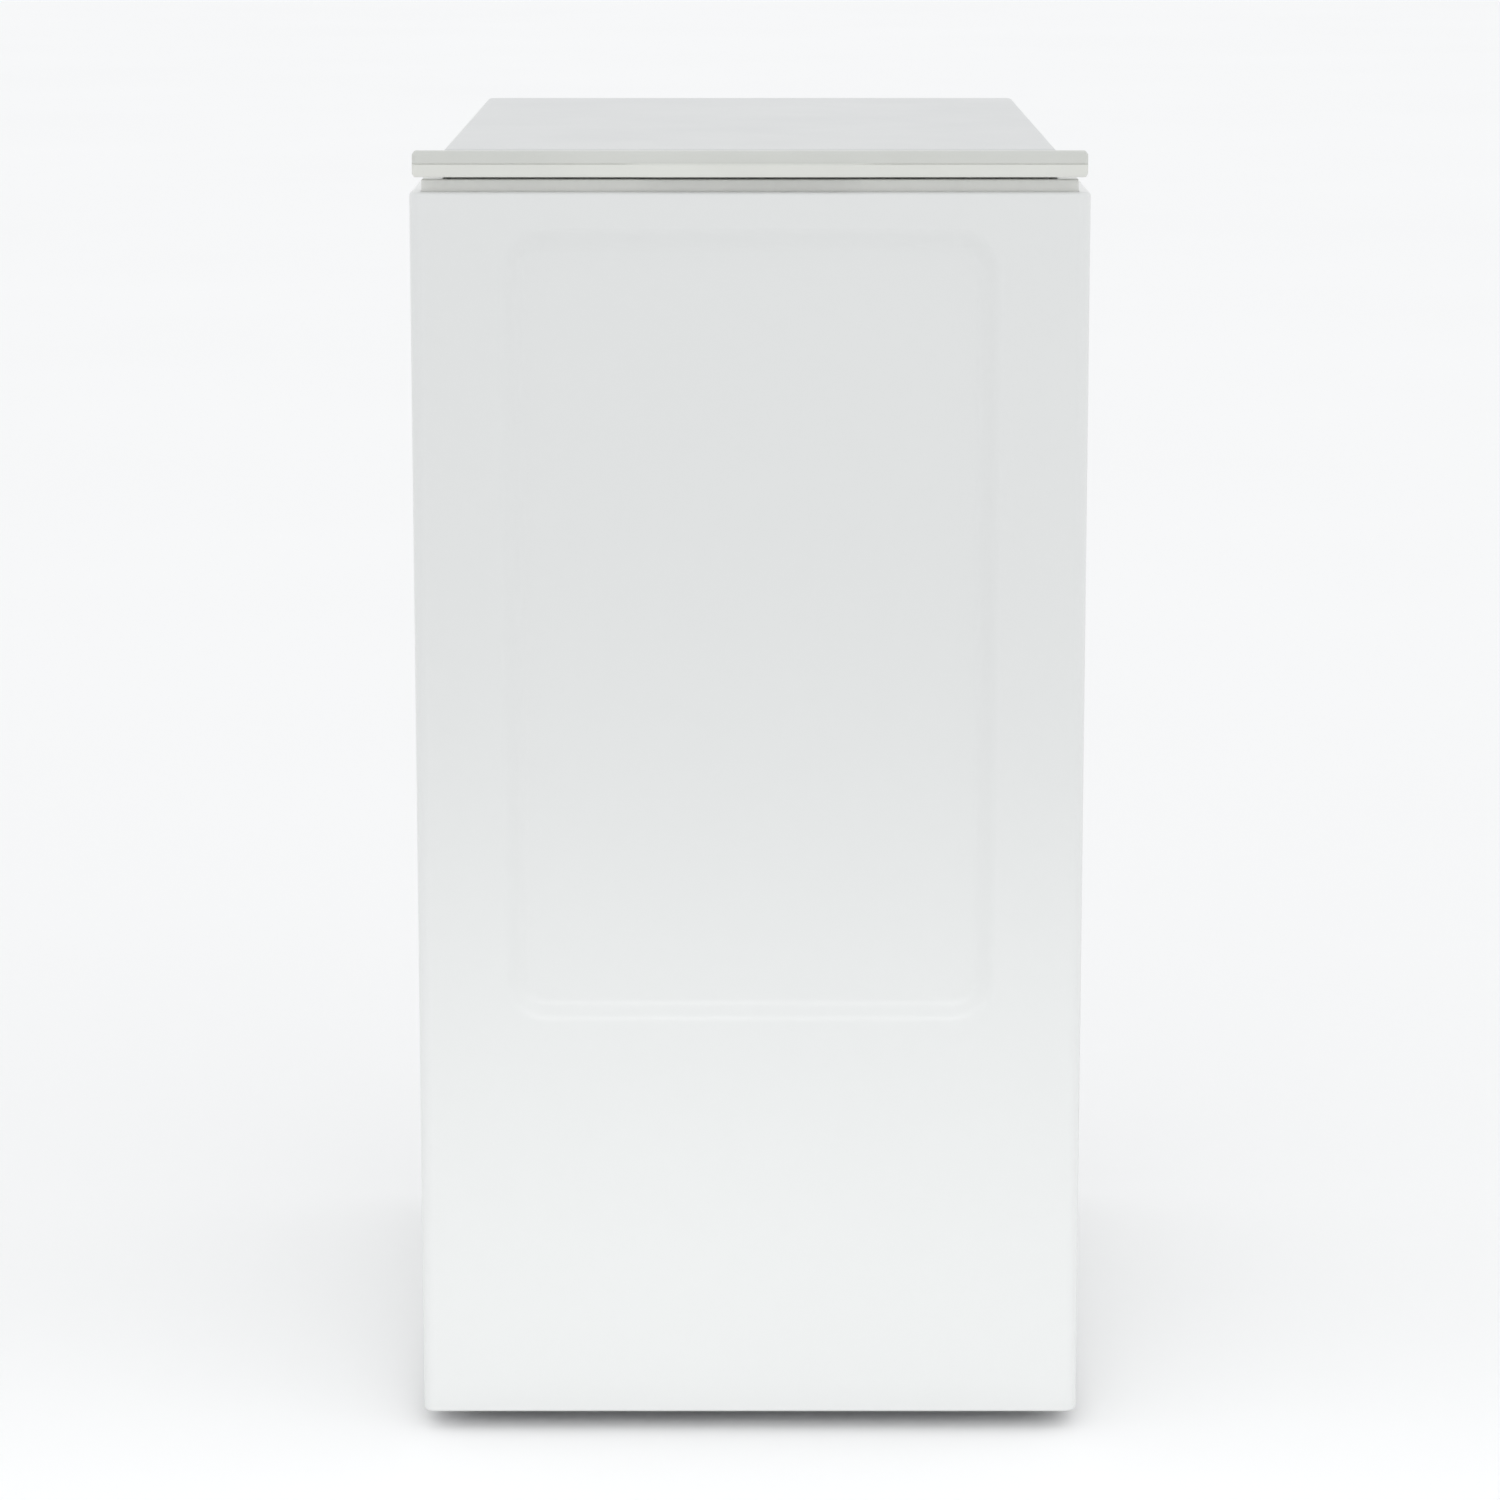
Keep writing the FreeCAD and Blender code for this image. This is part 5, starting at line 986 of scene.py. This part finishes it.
def make_siphon():
    """Cap and stem of the softener well's siphon."""
    skirt_top = 800
    profile = [(9.0, 778), (9.0, skirt_top), (8.6, 801.2), (7.4, 801.8), (3.4, 802), (3.2, 803.4),
               (2.4, 804)]
    cap = lathe(profile, (82.0, 160.0, 0), "z", 48,
                lambda turn, level: 1 - 0.03 * (math.cos(8 * turn) > 0.5) * (level < skirt_top), CAPPED)
    return closed_piece("softener_siphon", [cap], "cabinet", "tray_plastic", angle=35)


make_dial()
make_button("start_button")
make_button("option_button")
make_fascia_marks()
make_lamps()
make_siphon()


# ---- drum

TUB_AXIS = (-30.0, 460.0)
DRUM_RADIUS = 230.0
DRUM_SPAN = (-160.0, 150.0)
DRUM_WALL = 1.5
DOOR_SPAN = (-114.0, 104.0)
FLAP_SPAN = (-111.0, 101.0)
FLAP_TURNS = (0.6, 29.2)
FLAP_PRESSED = 1.3
RIM_X = 6.0
RIM_TURN = 1.6
LATCH_SLOT_X = (-18.0, 8.0)
LATCH_SLOT_TURN = (2.24, 5.74)
DOOR_ANGLE = 30.0
NOTCH_ANGLE = 33.6
HINGE_ANGLE = 31.4
HINGE_DEPTH = 1.0
KNUCKLES = ((-90.0, -66.0), (56.0, 80.0))
KNUCKLE_RADIUS = 4.0
KNUCKLE_EDGE = 0.4
KNUCKLE_GAP = 0.6
TAB_TURNS = (27.5, 28.8, 30.1)
PIN_RADIUS = 2.0
LUG = 8.0
HOLE_RADIUS = 2.1
CELL = 14.0
CELL_TURN = 3.5
LATCH_BAR = 4.0
KNOB_Y = (-52.0, -46.0)
KNOB_HALF = 12.0


def on_drum(x, turn, radius=DRUM_RADIUS):
    """A point on the drum at an angle in degrees from the top, positive to the back."""
    angle = math.radians(turn)
    return (x, TUB_AXIS[0] + radius * math.sin(angle), TUB_AXIS[1] + radius * math.cos(angle))


def inside(value, limits):
    """Whether a value lies between two limits."""
    return limits[0] < value < limits[1]


def cell_marks(limits, fixed, step):
    """Cell borders between two limits that include the fixed places."""
    return spread_between([*limits, *fixed], lambda middle: step)


def punched_sheet(columns, rows, kind, sink=lambda x, turn: 0.0):
    """Part of the drum's wall in cells; kind says whether a cell is open, plain or punched.

    columns are places along the axis and rows are angles; sink presses the sheet inwards.
    """
    points = []
    faces = []
    shared = {}
    half_turns = 2 * (len(rows) - 1)
    full_circle = rows[-1] - rows[0] >= 360

    def add_point(x, turn, depth):
        points.append(on_drum(x, turn, DRUM_RADIUS - depth))
        return len(points) - 1

    def corner(half_column, half_row):
        key = (half_column, half_row % half_turns if full_circle else half_row)
        if key not in shared:
            x = (columns[half_column // 2] + columns[(half_column + 1) // 2]) / 2
            turn = (rows[half_row // 2] + rows[(half_row + 1) // 2]) / 2
            shared[key] = add_point(x, turn, sink(x, turn))
        return shared[key]

    around = [(0, 0), (1, 0), (2, 0), (2, 1), (2, 2), (1, 2), (0, 2), (0, 1)]
    for column in range(len(columns) - 1):
        for row in range(len(rows) - 1):
            x = (columns[column] + columns[column + 1]) / 2
            turn = (rows[row] + rows[row + 1]) / 2
            state = kind(column, x, turn)
            if state == "open":
                continue
            border = [corner(2 * column + u, 2 * row + v) for u, v in around]
            if state == "plain":
                centre = add_point(x, turn, sink(x, turn))
                faces += [(border[at], border[(at + 1) % 8], border[(at + 2) % 8], centre)
                          for at in (1, 3, 5, 7)]
                continue
            rim = []
            for index in range(8):
                angle = math.radians(225 + 45 * index)
                hole_turn = turn + math.degrees(HOLE_RADIUS * math.sin(angle) / DRUM_RADIUS)
                rim.append(add_point(x + HOLE_RADIUS * math.cos(angle), hole_turn, sink(x, turn)))
            faces += [(border[index], border[(index + 1) % 8], rim[(index + 1) % 8], rim[index])
                      for index in range(8)]
    return points, faces, [0] * len(faces)


def hinge_line(side):
    """A point on the hinge line of one drum door."""
    return on_drum(0, HINGE_ANGLE * side, DRUM_RADIUS - HINGE_DEPTH)


def barrel_profile(start, end):
    """A short round bar with its two end edges broken."""
    return [(KNUCKLE_RADIUS - KNUCKLE_EDGE, start), (KNUCKLE_RADIUS, start + KNUCKLE_EDGE),
            (KNUCKLE_RADIUS, end - KNUCKLE_EDGE), (KNUCKLE_RADIUS - KNUCKLE_EDGE, end)]


def hinge_rods(side):
    """Pins and lugs of one row of door hinges."""
    line = hinge_line(side)
    surfaces = []
    for low, high in KNUCKLES:
        start, end = low - KNUCKLE_GAP - LUG, high + KNUCKLE_GAP + LUG
        pin = [(PIN_RADIUS, start - 0.6), (PIN_RADIUS, end + 0.6)]
        surfaces.append(lathe(pin, line, "x", 16, ends=CAPPED))
        for lug in ((start, low - KNUCKLE_GAP), (high + KNUCKLE_GAP, end)):
            surfaces.append(lathe(barrel_profile(*lug), line, "x", 24, ends=CAPPED))
    return surfaces


def make_drum_wall():
    """Rolled drum wall with its real holes, the loading hole and the notches for the hinges."""
    notches = [value for low, high in KNUCKLES for value in (low - KNUCKLE_GAP, high + KNUCKLE_GAP)]
    columns = cell_marks(DRUM_SPAN, [*DOOR_SPAN, *notches], CELL)
    rows = cell_marks((-180.0, 180.0), [-NOTCH_ANGLE, -DOOR_ANGLE, DOOR_ANGLE, NOTCH_ANGLE], CELL_TURN)
    door_surround = (DOOR_SPAN[0] - CELL, DOOR_SPAN[1] + CELL)

    def kind(column, x, turn):
        if inside(x, DOOR_SPAN) and abs(turn) < DOOR_ANGLE:
            return "open"
        if abs(turn) < NOTCH_ANGLE and any(inside(x, pair) for pair in KNUCKLES):
            return "open"
        near_end = column in (0, len(columns) - 2)
        near_door = abs(turn) < NOTCH_ANGLE + CELL_TURN and inside(x, door_surround)
        narrow = columns[column + 1] - columns[column] < 3 * HOLE_RADIUS
        return "plain" if near_end or near_door or narrow else "punched"

    wall = build("drum_wall", [punched_sheet(columns, rows, kind)], FINISHES["stainless"])
    face_out(sharpen(wall, 40), (0, *TUB_AXIS))
    settle(thicken(wall, DRUM_WALL), "drum", "stainless", "drum_shell")
    rods = build("drum_hinge_pins", hinge_rods(-1) + hinge_rods(1), FINISHES["bearing_steel"])
    return settle(sharpen(tidy_normals(rods), 40), "drum", "stainless")


def make_drum_flap(node, side):
    """Drum door: a pressed, punched flap with rolled knuckles; the front one has the latch's slot."""
    left, right = FLAP_SPAN
    first, last = FLAP_TURNS
    has_slot = side < 0
    fixed_x = [left + RIM_X, left + 2 * RIM_X, right - RIM_X, right - 2 * RIM_X]
    near_turns = LATCH_SLOT_TURN if has_slot else (first + RIM_TURN, first + 2 * RIM_TURN)
    fixed_turns = [*near_turns, last - RIM_TURN, last - 2 * RIM_TURN]
    columns = cell_marks(FLAP_SPAN, [*fixed_x, *(LATCH_SLOT_X if has_slot else ())], CELL)
    rows = sorted(side * turn for turn in cell_marks(FLAP_TURNS, fixed_turns, CELL_TURN))

    def sink(x, turn):
        edge_x = min(x - left, right - x) / RIM_X - 1
        edge_turn = min(abs(turn) - first, last - abs(turn)) / RIM_TURN - 1
        return FLAP_PRESSED * smooth_step(min(edge_x, edge_turn))

    def kind(column, x, turn):
        turn = abs(turn)
        if has_slot and inside(x, LATCH_SLOT_X) and inside(turn, LATCH_SLOT_TURN):
            return "open"
        in_rim = min(x - left, right - x) < 2 * RIM_X or min(turn - first, last - turn) < 2 * RIM_TURN
        beside_slot = (inside(x, (LATCH_SLOT_X[0] - 8, LATCH_SLOT_X[1] + 8))
                       and turn < LATCH_SLOT_TURN[1] + 1)
        return "plain" if in_rim or (has_slot and beside_slot) else "punched"

    leaf = build(f"{node}_flap", [punched_sheet(columns, rows, kind, sink)], FINISHES["stainless"])
    face_out(sharpen(leaf, 40), (0, *TUB_AXIS))
    settle(thicken(leaf, DRUM_WALL), node, "stainless", node)
    surfaces = []
    for low, high in KNUCKLES:
        bore = [(PIN_RADIUS + 0.1, high), (PIN_RADIUS + 0.1, low)]
        barrel = barrel_profile(low, high)
        surfaces.append(lathe(barrel + bore + barrel[:1], hinge_line(side), "x", 24))
        tab = []
        for x in (low, high):
            outer = [on_drum(x, side * turn) for turn in TAB_TURNS]
            inner = [on_drum(x, side * turn, DRUM_RADIUS - DRUM_WALL) for turn in reversed(TAB_TURNS)]
            tab.append(outer + inner)
        surfaces.append(shell(tab, ends=CAPPED))
    return closed_piece(f"{node}_knuckles", surfaces, node, "stainless")


def make_latch():
    """Sliding bolt of the drum doors with a ridged thumb knob."""
    low, high = span("door_latch")
    bar_top = low.z + LATCH_BAR
    bar = block((low.x, low.y), (high.x, high.y), 3.0,
                [(0.5, low.z), (0, low.z + 0.5), (0, bar_top - 0.5), (0.5, bar_top)], 4)
    middle = (low.x + high.x) / 2
    front, back = KNOB_Y
    knob = block((middle - KNOB_HALF, front), (middle + KNOB_HALF, back), 2.0,
                 [(0, bar_top - 0.2), (0, high.z - 1.0), (0.3, high.z - 0.4), (1.0, high.z - 0.1)], 4)
    ridges = [block((x - 0.5, front + 1), (x + 0.5, back - 1), 0.45, [(0, high.z - 0.3), (0.15, high.z)], 3)
              for x in spread(middle - KNOB_HALF + 4, middle + KNOB_HALF - 4, 3.2)]
    return closed_piece("door_latch_slide", [bar, knob, *ridges], "door_latch", "black_plastic",
                        "door_latch")


make_drum_wall()
make_drum_flap("drum_door_front", -1)
make_drum_flap("drum_door_rear", 1)
make_latch()


# ---- suspension, drive and hoses

SPRING_PLACES = [(x, y) for x in (-198.0, 198.0) for y in (-180.0, 120.0)]
HOSE_CUFF = 14.0
DRAIN_RADIUS = 11.0
DRAIN_RIBS = [11.0, 11.0, 9.8, 9.8]
DRAIN_STEP = 1.5
DRAIN_CUFF_STEPS = 20
# Each pulley: where its axle crosses the side view (y, z), and the inner radius of the belt on it
DRUM_BELT = (TUB_AXIS[0], TUB_AXIS[1], 130.3)
MOTOR_BELT = (-30.0, 130.0, 10.3)
BELT_RIBS = 5
BELT_STEPS = 60


def make_springs():
    """Wound tension springs with hooked ends."""
    low, high = span("suspension_springs")
    wire, coil, pitch, hook = 1.6, 11.0, 9.0, 6.0
    start, end = low.z + wire + hook, high.z - wire - hook
    turns = (end - start) / pitch
    steps = round(turns * 18)
    surfaces = []
    for x, y in SPRING_PLACES:
        path = [(x, y, low.z + wire), (x, y, low.z + wire + 2)]
        for index in range(steps + 1):
            share = index / steps
            reach = coil * min(1, smooth_step(share * turns), smooth_step((1 - share) * turns))
            turn = FULL_TURN * turns * share
            level = start + (end - start) * share
            path.append((x + reach * math.cos(turn), y + reach * math.sin(turn), level))
        path += [(x, y, high.z - wire - 2), (x, y, high.z - wire)]
        surfaces.append(tube_along(path, lambda index: wire, 8))
    piece = tidy_normals(build("suspension_coils", surfaces, FINISHES["spring_steel"]))
    return settle_soft(piece,
                       "suspension_springs")


def make_upright_hose(node, slot, wall):
    """Short hose with pleats between two plain cuffs."""
    low, high = span(node)
    radius = (high.x - low.x) / 2
    centre = upright_axis(low, high)
    start, end = low.z + HOSE_CUFF, high.z - HOSE_CUFF
    pleats = round((end - start) / 9)
    outer = [(radius, low.z), (radius, start)]
    for z in spread(start, end, 1.5)[1:-1]:
        turn = FULL_TURN * pleats * (z - start) / (end - start)
        outer.append((radius - 1.2 + 1.2 * math.cos(turn), z))
    outer += [(radius, end), (radius, high.z)]
    inner = [(reach - wall, z) for reach, z in reversed(outer)]
    piece = build(f"{node}_pleats", [lathe(outer + inner + outer[:1], centre, "z", 40)], FINISHES[slot])
    sharpen(tidy_normals(piece), 50)
    return settle_soft(piece, node)


def make_drain_hose():
    """Corrugated drain hose fixed inside the cabinet, from the pump up to the outlet."""
    x, front, back, floor, exit_z = -192.0, -150.0, 240.0, 78.0, 700.0
    near = 60.0
    route = [(-150.0, front, floor), (x, front, floor), (x, front + near, floor), (x, back - near, floor),
             (x, back, floor), (x, back, floor + near), (x, back, exit_z - near), (x, back, exit_z),
             (x, 272.0, exit_z)]
    path = spline_path(route, DRAIN_STEP)

    def radius(index):
        in_cuff = index < DRAIN_CUFF_STEPS or index > len(path) - DRAIN_CUFF_STEPS
        return DRAIN_RADIUS if in_cuff else DRAIN_RIBS[index % len(DRAIN_RIBS)]

    piece = build("drain_hose_ribbed", [tube_along(path, radius, 14)], FINISHES["hose_plastic"])
    return settle(tidy_normals(piece), "cabinet", "hose_plastic", "drain_hose")


def make_belt():
    """Flat belt with ribs inside, round the two pulleys."""
    low, high = span("drive_belt")
    slant = math.asin((DRUM_BELT[2] - MOTOR_BELT[2]) / (DRUM_BELT[1] - MOTOR_BELT[1]))
    path = []
    for (y, z, radius), first, last in ((DRUM_BELT, -slant, math.pi + slant),
                                        (MOTOR_BELT, math.pi + slant, FULL_TURN - slant)):
        for index in range(BELT_STEPS + 1):
            turn = first + (last - first) * index / BELT_STEPS
            path.append((y + radius * math.cos(turn), z + radius * math.sin(turn), math.cos(turn),
                         math.sin(turn)))
    width = high.x - low.x
    ribbed_side = [(low.x + width * (index + share) / BELT_RIBS, depth) for index in range(BELT_RIBS)
                   for share, depth in ((0.1, 0.0), (0.4, 0.0), (0.6, 1.4), (0.9, 1.4))]
    section = [*ribbed_side, (high.x, 1.4), (high.x, 3.6), (high.x - 0.4, 4.0), (low.x + 0.4, 4.0),
               (low.x, 3.6), (low.x, 0.4)]
    rings = [[(x, y + ny * reach, z + nz * reach) for x, reach in section] for y, z, ny, nz in path]
    return closed_piece("drive_belt_ribbed", [shell(rings, closed=True)], "tub", "black_rubber",
                        "drive_belt")


make_springs()
make_upright_hose("dispenser_hose", "grey_rubber", 2.6)
make_upright_hose("sump_hose", "black_rubber", 3.4)
make_drain_hose()
make_belt()


# ---- nodes that keep their own shape

# Width of each node's broken edges
SOFT_EDGES = {
    "top_frame": 0.9, "control_panel": 0.8, "dispenser_tray": 0.8, "rear_panel": 0.3, "base_frame": 0.8,
    "inlet_valve": 0.6, "drain_outlet": 0.5, "cord_gland": 0.6, "lid_hinge_brackets": 0.5,
    "lid_hinge_arms": 0.5, "lid_lock_housing": 0.6, "lid_strike": 0.5, "counterweight_front": 3.0,
    "counterweight_rear": 3.0, "drive_motor": 1.2, "drum_pulley": 0.6, "tub_end_left": 0.8,
    "tub_end_right": 0.8, "tub_collar": 0.5, "tub_shell": 0.5, "drum_end_left": 0.4, "drum_end_right": 0.4,
    "drum_lifters": 3.0, "foot_lock_nuts": 0.4,
}
WELD_DISTANCE = 0.02
FLAT_ANGLE = 0.5
EDGE_ANGLE = 35


def soften(node, width):
    """Break the sharp edges of a node that keeps its own shape."""
    piece = nodes[node]
    weld = piece.modifiers.new("weld", "WELD")
    weld.merge_threshold = WELD_DISTANCE * MM
    flat = piece.modifiers.new("flat_faces", "DECIMATE")
    flat.decimate_type = "DISSOLVE"
    flat.angle_limit = math.radians(FLAT_ANGLE)
    bevel = piece.modifiers.new("edges", "BEVEL")
    bevel.width = width * MM
    bevel.segments = 2
    bevel.limit_method = "ANGLE"
    bevel.angle_limit = math.radians(EDGE_ANGLE)
    bevel.use_clamp_overlap = True
    bevel.harden_normals = True


for name, width in SOFT_EDGES.items():
    soften(name, width)


# ---- floor, light and camera

FLOOR_HALF = 60000.0
SKY_STRENGTH = 1.135
CAMERA_LENS = 116.5
CAMERA_SHIFT = -0.04
CAMERA_PLACE = (0.0, -3.5, 1.105)
CAMERA_DIP = 10.37


def make_floor():
    """A wide pale floor under the object."""
    material, tree, shader, where = new_graph("studio_floor")
    cloud = noise(tree, where, 0.6)
    tree.links.new(blend(tree, remap(tree, cloud, 0, 1), (0.93, 0.93, 0.93), (0.92, 0.92, 0.92)),
                   shader.inputs["Base Color"])
    shader.inputs["Roughness"].default_value = 0.9
    shader.inputs["Specular IOR Level"].default_value = 0.1
    values = spread(-FLOOR_HALF, FLOOR_HALF, FLOOR_HALF / 8)
    rows = [[(x, y, 0) for x in values] for y in values]
    build("studio_floor", [shell(rows, wrap=False)], material)


def make_sky():
    """Pale sky, a little dimmer overhead than at the horizon."""
    world = bpy.data.worlds.new("studio_sky")
    world.use_nodes = True
    tree = world.node_tree
    background = tree.nodes["Background"]
    where = add_node(tree, "ShaderNodeTexCoord").outputs["Generated"]
    height = add_node(tree, "ShaderNodeSeparateXYZ", {"Vector": where}).outputs[2]
    share = remap(tree, height, 0, 1, 0.0, 0.9)
    tree.links.new(blend(tree, share, (1.0, 1.0, 1.0), (0.84, 0.85, 0.86)), background.inputs["Color"])
    background.inputs["Strength"].default_value = SKY_STRENGTH
    bpy.context.scene.world = world


def add_light(name, place, target, size, power, fan):
    """A soft light aimed at a point: places and size in metres, power in watts, fan in degrees."""
    data = bpy.data.lights.new(name, "AREA")
    data.shape = "RECTANGLE"
    data.size, data.size_y = size
    data.energy = power
    data.spread = math.radians(fan)
    lamp = bpy.data.objects.new(name, data)
    lamp.location = place
    lamp.rotation_euler = (Vector(target) - Vector(place)).to_track_quat("-Z", "Y").to_euler()
    lamp.visible_camera = False
    bpy.context.collection.objects.link(lamp)


def make_camera():
    """Camera in front of the object, a little above it and looking down."""
    data = bpy.data.cameras.new("camera")
    data.lens = CAMERA_LENS
    data.sensor_width = 36.0
    data.shift_y = CAMERA_SHIFT
    camera = bpy.data.objects.new("camera", data)
    camera.location = CAMERA_PLACE
    camera.rotation_euler = (math.radians(90 - CAMERA_DIP), 0.0, 0.0)
    bpy.context.collection.objects.link(camera)
    bpy.context.scene.camera = camera


make_floor()
make_sky()
add_light("low_softbox", (0.0, -1.2, 0.55), (0.0, -0.45, 0.0), size=(1.4, 0.3), power=0.68, fan=70)
add_light("right_softbox", (2.6, -2.4, 1.9), (0.0, 0.0, 0.5), size=(1.8, 1.8), power=3, fan=180)
make_camera()
bpy.context.scene.view_settings.view_transform = "Standard"
